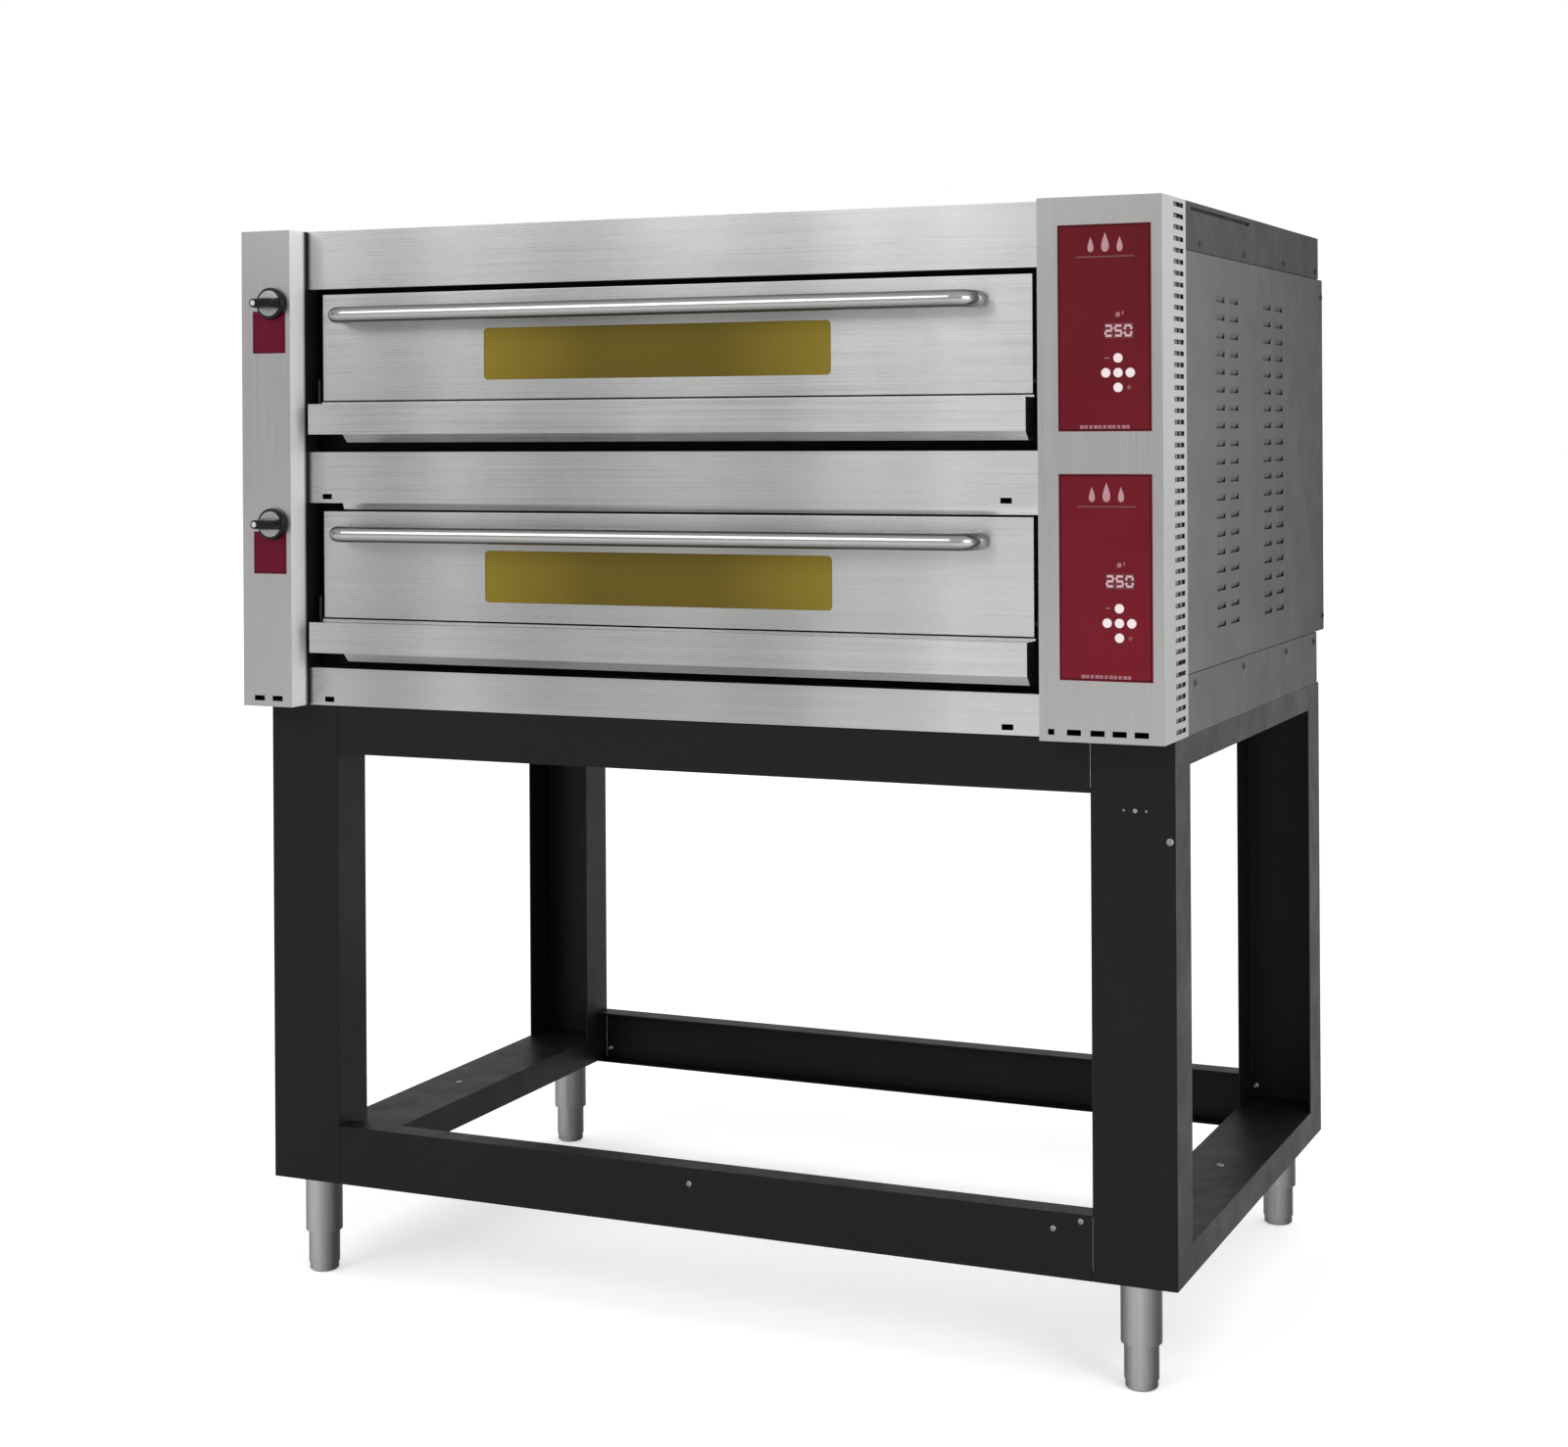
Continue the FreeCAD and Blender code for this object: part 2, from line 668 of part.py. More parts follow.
def hearth_stones():
    """Two stones per deck, 1 mm apart and 1 mm clear of the walls."""
    stones = []
    for name, deck, _ in DECKS:
        top = deck + "+stone_top"
        for side, left, right in (("l", "cavity_left+1", -44.5), ("r", -43.5, "cavity_right-1")):
            stones.append(box(f"{name}_stone_{side}", left, right, "cavity_front+1",
                              "cavity_back-1", top + "-stone_thick", top))
    publish_group("hearth_stones", stones)


def hairpin(name, y, z):
    """Two straight legs from the right wall, joined by a bend on the left."""
    start = "cavity_left+rod_start"
    parts = [cylinder(f"{name}_leg{i}", "rod_radius", span(start, "cavity_right-0.5"),
                      start, f"{y}{sign}hairpin_half", z, "x") for i, sign in enumerate("-+")]
    bend = doc.addObject("Part::Torus", name + "_bend")
    bind(bend, Radius1="hairpin_half", Radius2="rod_radius")
    bend.Angle3 = 180
    place(bend, start, y, z, turned(0, 0, 1, 90))
    return fuse(name, parts + [bend])


def heating_elements():
    """Four hairpins over the stones and four under them in each deck."""
    rods = []
    for name, deck, _ in DECKS:
        for level, z in (("roof", deck + "+cavity_top-12"),
                         ("floor", deck + "+cavity_bottom+sheet+9")):
            for i, y in enumerate(ROD_PLACES):
                rods.append(hairpin(f"{name}_{level}_rod{i}", y, z))
    publish_group("heating_elements", rods)


def door_gaskets():
    """Rope seal on the top and both sides of each mouth."""
    seals = []
    depth = ("front_y+door_depth+0.1", BULKHEAD_FRONT)
    for name, deck, _ in DECKS:
        low, high = deck + "+hinge_z+14", deck + "+cavity_top+2"
        left, right = "cavity_left-12", "cavity_right+12"
        seals.append(fuse(name + "_seal", [
            box(name + "_seal_l", left, "cavity_left-2", *depth, low, high),
            box(name + "_seal_r", "cavity_right+2", right, *depth, low, high),
            box(name + "_seal_t", left, right, *depth, high, deck + "+cavity_top+11")]))
    publish_group("door_gaskets", seals)


def flue_ducts():
    """Hollow duct left of each chamber, with a round spigot out of the back."""
    ducts = []
    left, right, front, rear = "knob_x-30", "knob_x+30", "175", "245"
    for name, _, knob in DECKS:
        low, high = knob + "-75", knob + "+75"
        stub_low, stub_high = knob + "-70", knob + "-40"
        axis_z = knob + "-spigot_drop"
        outside = fuse(name + "_duct_solid", [
            box(name + "_duct_out", left, right, front, rear, low, high),
            box(name + "_stub_out", "knob_x+29", "cavity_left-sheet", 185, 235,
                stub_low, stub_high),
            cylinder(name + "_pipe_out", "spigot_radius-0.5", "rear_y+spigot_length-245",
                     "knob_x", 244, axis_z, "y"),
            cylinder(name + "_spigot_out", "spigot_radius", "spigot_length",
                     "knob_x", "rear_y", axis_z, "y")])
        ducts.append(cut(name + "_duct_shell", outside, [
            box(name + "_duct_in", left + "+skin", right + "-skin", front + "+skin",
                rear + "-skin", low + "+skin", high + "-skin"),
            box(name + "_stub_in", "knob_x+20", "cavity_left+5", "185+skin", "235-skin",
                stub_low + "+skin", stub_high + "-skin"),
            cylinder(name + "_spigot_in", "spigot_radius-0.5-skin", "rear_y+spigot_length-230",
                     "knob_x", 240, axis_z, "y"),
            cylinder(name + "_duct_bore", "shaft_radius+run_gap", 80, "knob_x", 170, knob, "y")]))
    publish_group("flue_ducts", ducts)


def lamps_and_probes():
    """A lamp on the right wall and a probe from the rear wall of each chamber."""
    publish_group("chamber_lamps", [
        cylinder(name + "_lamp", 18, 9, "cavity_right-9", 255, deck + "+lamp_z", "x")
        for name, deck, _ in DECKS])
    publish_group("temperature_probes", [
        cylinder(name + "_probe", 3, 50, 300, "cavity_back-50", deck + "+lamp_z", "y")
        for name, deck, _ in DECKS])


def insulation_blankets():
    blankets = []
    rear = "cavity_back+sheet"
    for name, deck, knob in DECKS:
        heights = (deck + "+cavity_bottom", deck + "+cavity_top")
        left = box(name + "_wool_l", WOOL_LEFT, "cavity_left-sheet-0.5", WOOL_FRONT, rear, *heights)
        # The duct's stub passes through the left blanket.
        way = box(name + "_wool_way", "cavity_left-80", "cavity_left", 184, 236,
                  knob + "-71", knob + "-39")
        blankets.append(cut(name + "_wool_left", left, [way]))
        blankets.append(box(name + "_wool_right", "cavity_right+sheet+0.5", WOOL_RIGHT,
                            WOOL_FRONT, rear, *heights))
        blankets.append(box(name + "_wool_rear", WOOL_LEFT, WOOL_RIGHT, rear + "+0.5",
                            WOOL_BACK, *heights))
    above = "+cavity_top+sheet+0.5"
    for name, low, high in (
        ("wool_low", "base_z+30", "base_z+cavity_bottom-0.5"),
        ("wool_mid", "base_z" + above, "base_z+deck_pitch+cavity_bottom-0.5"),
        ("wool_top", "base_z+deck_pitch" + above, TOP + "-30"),
    ):
        blankets.append(box(name, WOOL_LEFT, WOOL_RIGHT, WOOL_FRONT, WOOL_BACK, low, high))
    publish_group("insulation_blankets", blankets)


# -------------------------------------------------------------------- doors
HINGE_Y = "front_y+hinge_inset"
PIN_BORE = "pin_radius+run_gap"
SKIN_BACK = "front_y+30"  # rear edge of a door's outer skin
DOOR_BACK = "front_y+door_depth"


def window(deck, side=0, height=0):
    """A window's outline, widened at each side and heightened at each end."""
    return rect(f"window_left-{side}", f"window_right+{side}",
                f"{deck}+window_bottom-{height}", f"{deck}+window_top+{height}")


def inside_skin(deck):
    return rect("door_left+sheet", "door_right-sheet",
                deck + "+door_bottom+sheet", deck + "+door_top-sheet")


def door_skin(name, deck):
    skin = Solid(name + "_door_skin")
    skin.pad("xz", "front_y", SKIN_BACK,
             rect("door_left", "door_right", deck + "+door_bottom", deck + "+door_top"))
    skin.round_edges(1.2, lambda edge: near(edge.CenterOfMass.y, "front_y"))
    skin.pocket("xz", "front_y+sheet", SKIN_BACK, inside_skin(deck))
    skin.pocket("xz", "front_y", "front_y+sheet", window(deck))

    def window_corner(edge):
        middle = edge.CenterOfMass
        return (along(edge, "y")
                and any(near(middle.x, x) for x in ("window_left", "window_right"))
                and any(near(middle.z, deck + z) for z in ("+window_bottom", "+window_top")))

    skin.round_edges("window_radius", window_corner)
    skin.pocket("yz", "door_left", "door_right", (HINGE_Y, deck + "+hinge_z", PIN_BORE))
    skin.publish()


def door_liner(name, deck):
    liner = Solid(name + "_door_liner")
    front, left, right = "front_y+sheet", "door_left+sheet", "door_right-sheet"
    hinge = deck + "+hinge_z"
    liner.pad("xz", front, DOOR_BACK, inside_skin(deck))
    liner.pocket("xz", front, DOOR_BACK, window(deck, 3, 3))
    # Rebates for the outer and inner panes.
    liner.pocket("xz", front, front + "+pane+0.2", window(deck, 13, 9))
    liner.pocket("xz", DOOR_BACK + "-pane-1.2", DOOR_BACK, window(deck, 13, 9))
    # Step along the lower rear edge.
    liner.pocket("yz", left, right, rect(SKIN_BACK, DOOR_BACK, deck + "+door_bottom", hinge + "-9"))
    liner.pocket("yz", left, "door_left+26", (HINGE_Y, hinge, PIN_BORE))
    liner.pocket("yz", "door_right-26", right, (HINGE_Y, hinge, PIN_BORE))
    liner.publish()


def door_glass(name, deck):
    panes = []
    for part, front in (("out", "front_y+sheet"), ("in", DOOR_BACK + "-pane-1")):
        panes.append(box(f"{name}_pane_{part}", "window_left-12.5", "window_right+12.5",
                         front, front + "+pane",
                         deck + "+window_bottom-8.5", deck + "+window_top+8.5"))
    publish_group(name + "_door_glass", panes)


def door_handle(name, deck):
    """Tubular handle, both ends bent back into the door."""
    handle = Solid(name + "_door_handle")
    left, right = VALUES["grip_left"], VALUES["grip_right"]
    out, bend = VALUES["grip_out"], VALUES["grip_bend"]
    curves = (
        line(left, 0, left, -out + bend),
        arc(left + bend, -out + bend, bend, 2, 3),
        line(left + bend, -out, right - bend, -out),
        arc(right - bend, -out + bend, bend, 3, 4),
        line(right, -out + bend, right, 0),
    )
    relations = [("Tangent", i, 2, i + 1, 1) for i in range(4)] + [
        ("Vertical", 0), ("Horizontal", 2), ("Vertical", 4),
        ("PointOnObject", 0, 1, -1), ("PointOnObject", 4, 2, -1)]
    sizes = (
        ("grip_left", "DistanceX", -1, 1, 0, 1),
        ("grip_right", "DistanceX", -1, 1, 4, 2),
        ("-grip_out", "DistanceY", -1, 1, 2, 1),
        ("grip_bend", "Radius", 1),
        ("grip_bend", "Radius", 3),
    )
    handle.tube(name + "_grip", "xy", curves, relations, sizes, 0, ("grip_left", 0, "grip_radius"))
    handle.move(0, "front_y", deck + "+grip_z")
    handle.publish()


def door_hinges():
    """An ear and a pin at both ends of each door."""
    hinges = []
    for name, deck, _ in DECKS:
        z = deck + "+hinge_z"
        for side, end, out in (("l", "door_left", "-"), ("r", "door_right", "+")):
            ear = ordered(f"{end}{out}9", f"{end}{out}5")
            pin = ordered(f"{end}{out}9", f"{end}{opposite(out)}21")
            hinges.append(fuse(f"{name}_hinge_{side}", [
                box(f"{name}_ear_{side}", *ear, "front_y", BULKHEAD_FRONT, z + "-22", z + "+16"),
                cylinder(f"{name}_pin_{side}", "pin_radius", span(*pin), pin[0], HINGE_Y, z,
                         "x")]))
    publish_group("door_hinges", hinges)


# ------------------------------------------------------------------ dampers
def damper_knob(name, level):
    knob = Solid(name + "_damper_knob")
    # Turned blank about Y, bored for its shaft: radius, Y from the column.
    knob.revolve("xy", "Y_Axis", [
        ("shaft_radius", -2), ("knob_radius", -2), ("knob_radius", -9), ("knob_radius-2.5", -11),
        ("knob_radius-3", "-knob_depth+3"), ("knob_radius-6", "-knob_depth"),
        (0, "-knob_depth"), (0, "-knob_depth+6"), ("shaft_radius", "-knob_depth+6")])
    flute = knob.pocket("xz", "-knob_depth", -12, ("knob_radius+3", 0, 7.5))
    knob.ring(flute, 6)
    # Shallow round dimple in the front face.
    knob.pocket("xz", "-knob_depth", "-knob_depth+0.8", (-12, 0, 3.4))
    knob.move("knob_x", "column_y", level)
    knob.publish()


def damper_shaft(name, level):
    """Spindle from the knob to a flap inside the duct."""
    publish(fuse(name + "_damper_rod", [
        cylinder(name + "_spindle", "shaft_radius", "290-column_y+knob_depth-6", "knob_x",
                 "column_y-knob_depth+6", level, "y"),
        box(name + "_flap", "knob_x-28", "knob_x+28", 178, 242, level + "-1", level + "+1"),
    ]), name + "_damper_shaft")


def knob_label_plates():
    publish_group("knob_label_plates", [
        box(name + "_label", -723, -663, "column_y-0.8", "column_y", knob + "-78", knob + "-12")
        for name, _, knob in DECKS])


# ----------------------------------------------------------------- controls
def control_panels():
    plates = []
    for name, deck, _ in DECKS:
        plate = Solid(name + "_panel_plate")
        outline = rect("panel_left", "panel_right", deck + "+panel_bottom", deck + "+panel_top")
        plate.pad("xz", "column_y-1", "column_y", outline, *key_holes(deck))
        plates.append(plate.body)
    publish_group("control_panels", plates)


def display_windows():
    windows = []
    for name, deck, _ in DECKS:
        key = deck + "+key_z"
        windows.append(box(name + "_display", "key_x-18", "key_x+22", "column_y-1.6",
                           "column_y-1", key + "+46", key + "+68"))
        windows.append(cylinder(name + "_pilot", 2.6, 1.2, "key_x-2", "column_y-2.2",
                                key + "+80", "y"))
    publish_group("display_windows", windows)


def control_boards():
    """A board behind each panel, with two relays and a transformer on its rear."""
    boards = []
    back = "column_y+19.6"
    for name, deck, _ in DECKS:
        low = deck + "+panel_bottom"
        boards.append(box(name + "_board", "panel_left+8", "panel_right-3", "column_y+18", back,
                          low + "+10", deck + "+panel_top-10"))
        # Name, left and right from panel_left, rear face, bottom and top.
        for part, left, right, rear, bottom, top in (
            ("relay_a", 16, 44, 36, 30, 70),
            ("relay_b", 54, 82, 36, 30, 70),
            ("trafo", 20, 70, 39, 190, 240),
        ):
            boards.append(box(f"{name}_{part}", f"panel_left+{left}", f"panel_left+{right}",
                              back, f"column_y+{rear}", f"{low}+{bottom}", f"{low}+{top}"))
    publish_group("control_boards", boards)


def panel_keys(name, deck):
    """Five round keys, each with a stem behind it."""
    for word, across, rise in KEYS:
        key = Solid(f"{name}_key_{word}")
        key.revolve("xy", "Y_Axis", [
            (0, -2.4), ("key_radius-0.8", -2.4), ("key_radius", -1.6), ("key_radius", 5),
            (3, 5), (3, 15), (0, 15)])
        key.move("key_x" + across, "column_y", deck + "+key_z" + rise)
        key.publish()


def contactor_rail():
    """Rail behind the right side panel, with contactors and a terminal block."""
    rail_face = 712
    gear = [box("din_rail", rail_face, 719, -320, 160, "base_z+360", "base_z+395")]
    for i, y in enumerate((-290, -210, -130, -50)):
        gear.append(fuse(f"contactor{i}", [
            box(f"contactor_base{i}", 660, rail_face, y, y + 54, "base_z+335", "base_z+420"),
            box(f"contactor_nose{i}", 628, 660, y + 7, y + 47, "base_z+350", "base_z+405")]))
    gear.append(box("terminal_block", 675, rail_face, 60, 150, "base_z+350", "base_z+405"))
    publish_group("contactor_rail", gear)


FAN_PLACE = ("fan_x", "rear_y-skin-39", "base_z+fan_z")
FAN_DEPTH = 38


def fan_housing():
    """Square ring with a hub on three spokes at the rear and a fixed spindle."""
    housing = Solid("fan_housing")
    spoke_front = FAN_DEPTH - 4
    housing.pad("xz", 0, FAN_DEPTH, rect(-60, 60, -60, 60), (0, 0, 56))
    housing.pad("xz", spoke_front, FAN_DEPTH, (0, 0, 22))
    spoke = housing.pad("xz", spoke_front, FAN_DEPTH, rect(20, 57, -3, 3))
    housing.ring(spoke, 3)
    housing.pad("xz", 14, spoke_front, (0, 0, 3))
    housing.move(*FAN_PLACE)
    housing.publish()


def fan_rotor():
    rotor = Solid("fan_rotor")
    rotor.pad("xz", 4, 30, (0, 0, 19))
    blade = rotor.pad("yz", 17, 53, [(6, -11), (8, -12), (28, 11), (26, 12)])
    rotor.ring(blade, 7)
    rotor.pocket("xz", 12, 30, (0, 0, "3+run_gap"))
    rotor.move(*FAN_PLACE)
    rotor.publish()


def power_cable():
    """Supply lead out of the back, hanging down, with its gland."""
    start, bend, drop_y, end_z = -40, 15, 23, -480
    centre = drop_y - bend
    lead = Solid("lead")
    curves = (
        line(start, 0, centre, 0),
        arc(centre, -bend, bend, 0, 1),
        line(drop_y, -bend, drop_y, end_z),
    )
    relations = (
        ("Tangent", 0, 2, 1, 2), ("Tangent", 1, 1, 2, 1), ("Horizontal", 0), ("Vertical", 2),
        ("PointOnObject", 0, 1, -1))
    sizes = (
        (start, "DistanceX", -1, 1, 0, 1),
        (drop_y, "DistanceX", -1, 1, 2, 1),
        (bend, "Radius", 1),
        (end_z, "DistanceY", -1, 1, 2, 2),
    )
    lead.tube("lead", "yz", curves, relations, sizes, start, (0, 0, 6.5))
    gland = Solid("gland")
    # Radius, Y from the rear panel's outer face.
    gland.revolve("xy", "Y_Axis", [
        (6.6, -1), (9.4, -1), (9.4, 0), (14, 0), (14, 4), (11, 6.5), (8.5, 7.5), (6.6, 7.5)])
    for solid in (lead, gland):
        solid.move("fan_x", "rear_y", "base_z+cable_z")
    publish_group("power_cable", [lead.body, gland.body])


# -------------------------------------------------------------------- stand
# Name, outer plane and the sign that leads into the stand.
STAND_SIDES = (("left", "stand_left", "+"), ("right", "stand_right", "-"))
STAND_ENDS = (("front", "stand_front", "+"), ("rear", "stand_back", "-"))


def stand_leg(label, outer, inward, end, into):
    """Leg with a web across the front or rear, a side and an inner return."""
    inner = f"{outer}{inward}leg_width"
    outer_in = f"{outer}{inward}stand_sheet"
    inner_in = f"{inner}{opposite(inward)}stand_sheet"
    side_end, return_end = f"{end}{into}leg_depth", f"{end}{into}leg_return"
    web_in = f"{end}{into}stand_sheet"
    leg = Solid(label)
    leg.pad("xy", "stand_bottom", "base_z", [
        (outer, side_end), (outer, end), (inner, end), (inner, return_end),
        (inner_in, return_end), (inner_in, web_in), (outer_in, web_in), (outer_in, side_end)])
    leg.round_edges(2, lambda edge: along(edge, "z") and near(edge.CenterOfMass.y, end)
                    and near(edge.CenterOfMass.x, inner))
    return leg.body


def stand_side_frame(side, outer, inward):
    """Front and rear legs, two inverted side channels and two foot plates."""
    parts = [stand_leg(f"{side}_{end_name}_leg", outer, inward, end, into)
             for end_name, end, into in STAND_ENDS]
    inner = f"{outer}{inward}leg_width"
    outer_in = f"{outer}{inward}stand_sheet"
    inner_in = f"{inner}{opposite(inward)}stand_sheet"
    depth = ("stand_front+stand_sheet", "stand_back-stand_sheet")
    for level, low, high in (("low", "stand_bottom", "stand_bottom+low_side_height"),
                             ("top", "base_z-top_side_height", "base_z")):
        name = f"{side}_{level}"
        parts.append(box(name + "_web", *ordered(outer, inner), *depth,
                         high + "-stand_sheet", high))
        parts.append(box(name + "_out", *ordered(outer, outer_in), *depth, low, high))
        parts.append(box(name + "_in", *ordered(inner_in, inner), *depth, low, high))
    for end_name, end, into in STAND_ENDS:
        parts.append(box(f"{side}_{end_name}_shoe", *ordered(outer_in, inner_in),
                         *ordered(f"{end}{into}stand_sheet", f"{end}{into}leg_depth{into}20"),
                         "stand_bottom", "stand_bottom+4"))
    label = f"stand_{side}_side_frame"
    publish(fuse(label, parts), label)


def feet_and_sleeves():
    """Turned feet in sleeves that are closed at the top."""
    sleeves = []
    length = "stand_bottom-sleeve_bottom"
    for side, outer, inward in STAND_SIDES:
        for end_name, end, into in STAND_ENDS:
            name = f"{side}_{end_name}"
            x, y = f"{outer}{inward}foot_inset_x", f"{end}{into}foot_inset_y"
            tube = cylinder(name + "_tube", "sleeve_radius", length, x, y, "sleeve_bottom")
            bore = cylinder(name + "_bore", "foot_radius+run_gap", length + "-sleeve_roof",
                            x, y, "sleeve_bottom")
            sleeves.append(cut(name + "_sleeve", tube, [bore]))
            foot = Solid(f"{end_name}_{side}_foot")
            top = "stand_bottom-sleeve_roof-0.1"
            # Radius, height above the floor.
            foot.revolve("xz", "Z_Axis", [
                (0, 0), ("foot_radius-5", 0), ("foot_radius-1.5", 3), ("foot_radius-1.5", 12),
                ("foot_radius", 14), ("foot_radius", top + "-2"), ("foot_radius-2", top),
                (0, top)])
            foot.move(x, y, 0)
            foot.publish()
    publish_group("foot_sleeves", sleeves)


def stand_cross_rails():
    """Channels between the legs, open towards the middle of the stand."""
    rails = []
    for level, low, high in (("top", "base_z-top_rail_height", "base_z"),
                             ("low", "stand_bottom", "stand_bottom+low_rail_height")):
        for end_name, end, into in STAND_ENDS:
            rail = Solid(f"{end_name}_{level}_rail")
            lip, web_in = f"{end}{into}rail_flange", f"{end}{into}stand_sheet"
            high_in, low_in = high + "-stand_sheet", low + "+stand_sheet"
            rail.pad("yz", "stand_left+leg_width+0.03", "stand_right-leg_width-0.03", [
                (end, low), (end, high), (lip, high), (lip, high_in), (web_in, high_in),
                (web_in, low_in), (lip, low_in), (lip, low)])
            rails.append(rail.body)
    publish_group("stand_cross_rails", rails)


# ---------------------------------------------------------------- fasteners
def fasteners():
    """Tapered screw and rivet heads, each pointing along its axis."""
    heads = []

    def head(x, y, z, axis, radius=5.0, height=2.6, taper=1.6, word="head"):
        heads.append(cone(f"{word}{len(heads)}", radius, radius - taper, height, x, y, z, axis))

    # Stand, front.
    for x, z in ((4, "stand_bottom+68"), (566, "stand_bottom+68"), (606, "stand_bottom+82")):
        head(x, "stand_front", z, "-y", radius=4.5)
    head(736, "stand_front", "base_z-137", "-y", radius=5.5)
    for x, radius in ((671, 1.8), (687, 3.2), (703, 1.8)):
        head(x, "stand_front", "base_z-97", "-y", radius, height=1, taper=0.7, word="rivet")
    # Stand, rear: one head on each face of the sheet.
    for z_left, z_right in (("stand_bottom+18", "stand_bottom+64"), ("base_z-40", "base_z-40")):
        for x, z in ((-597, z_left), (634, z_right)):
            head(x, "stand_back", z, "y")
            head(x, "stand_back-stand_sheet", z, "-y", radius=6.0, height=4.0)
    # Tops of the lower side rails.
    for x in ("stand_right-leg_width/2", "stand_left+leg_width/2"):
        head(x, 20, "stand_bottom+low_side_height", "z", radius=6.0)
    # Casing sides.
    for x, axis in (("half_width", "x"), ("-half_width", "-x")):
        for y in (-300, -40, 220, 450):
            head(x, y, TOP + "-cover_skirt+12", axis)
        for y in (-340, -60, 220, 420):
            head(x, y, "base_z+pan_skirt-14", axis)
        for z in ("base_z+110", TOP + "-cover_skirt-30"):
            head(x, 490, z, axis)
    # Casing rear.
    for x in (-700, -350, 0, 350, 700):
        head(x, "rear_y", "base_z+100", "y")
        head(x, "rear_y", TOP + "-cover_skirt-14", "y")
        head(x, "cover_rear", TOP + "-30", "y")
    publish_group("fasteners", heads)


# -------------------------------------------------------------------- build
base_pan()
top_cover()
side_panel("left", "-half_width", "+")
side_panel("right", "half_width", "-")
rear_panel()
column_cover("left", "-half_width", "column_left", "+", LEFT_SLOTS,
             [[("knob_x", knob, "shaft_radius+1")] for _, _, knob in DECKS])
column_cover("right", "half_width", "column_right", "-", RIGHT_SLOTS,
             [key_holes(deck) for _, deck, _ in DECKS])
fascias()
door_sills()
chassis_frame()
chamber_liners()
hearth_stones()
heating_elements()
door_gaskets()
flue_ducts()
lamps_and_probes()
insulation_blankets()
for name, deck, knob in DECKS:
    door_skin(name, deck)
    door_liner(name, deck)
    door_glass(name, deck)
    door_handle(name, deck)
    damper_knob(name, knob)
    damper_shaft(name, knob)
    panel_keys(name, deck)
door_hinges()
knob_label_plates()
control_panels()
display_windows()
control_boards()
contactor_rail()
fan_housing()
fan_rotor()
power_cable()
for stand_side in STAND_SIDES:
    stand_side_frame(*stand_side)
feet_and_sleeves()
stand_cross_rails()
fasteners()

doc.recompute()
faults = [f"{item.Name}: {item.State}" for item in doc.Objects
          if "Invalid" in item.State or "Error" in item.State]
for label, item in NODES.items():
    shape = item.Shape
    if shape.isNull() or not shape.isValid() or not shape.Solids:
        faults.append(label + ": shape")
if faults:
    raise RuntimeError("; ".join(faults))
os.makedirs("parts", exist_ok=True)
for label, item in NODES.items():
    item.Shape.exportStep(f"parts/{label}.step")
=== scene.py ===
import math
import json

import bpy
import bmesh
from mathutils import Vector, Matrix


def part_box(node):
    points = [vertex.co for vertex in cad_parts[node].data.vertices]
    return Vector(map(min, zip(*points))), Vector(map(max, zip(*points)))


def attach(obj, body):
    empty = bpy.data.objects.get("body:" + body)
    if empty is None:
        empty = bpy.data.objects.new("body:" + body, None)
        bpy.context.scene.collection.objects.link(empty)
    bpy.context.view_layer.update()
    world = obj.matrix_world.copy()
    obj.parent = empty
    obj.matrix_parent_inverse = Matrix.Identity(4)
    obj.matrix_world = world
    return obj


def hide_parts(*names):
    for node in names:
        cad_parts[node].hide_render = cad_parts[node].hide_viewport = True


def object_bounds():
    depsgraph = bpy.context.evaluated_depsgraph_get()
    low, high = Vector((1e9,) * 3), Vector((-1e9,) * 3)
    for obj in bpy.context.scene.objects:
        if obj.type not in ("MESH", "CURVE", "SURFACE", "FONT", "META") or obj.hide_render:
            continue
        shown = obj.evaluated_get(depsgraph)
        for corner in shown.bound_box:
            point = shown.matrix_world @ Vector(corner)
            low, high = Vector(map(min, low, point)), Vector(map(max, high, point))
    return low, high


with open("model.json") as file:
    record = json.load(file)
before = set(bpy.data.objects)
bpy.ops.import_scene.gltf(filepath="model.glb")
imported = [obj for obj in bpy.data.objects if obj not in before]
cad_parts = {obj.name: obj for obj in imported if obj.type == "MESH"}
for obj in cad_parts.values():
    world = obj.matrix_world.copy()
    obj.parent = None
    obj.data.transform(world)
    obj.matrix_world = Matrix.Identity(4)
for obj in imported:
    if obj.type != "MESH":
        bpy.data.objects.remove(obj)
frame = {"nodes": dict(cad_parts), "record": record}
cad_lo, cad_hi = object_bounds()
NODES = frame["nodes"]
ROOT = "oven_and_stand"
SKY_UP, SKY_SIDE, PATCH, SEEN = 0.62, 0.56, 1.0, 1.0

# ------------------------------------------------------------------ materials


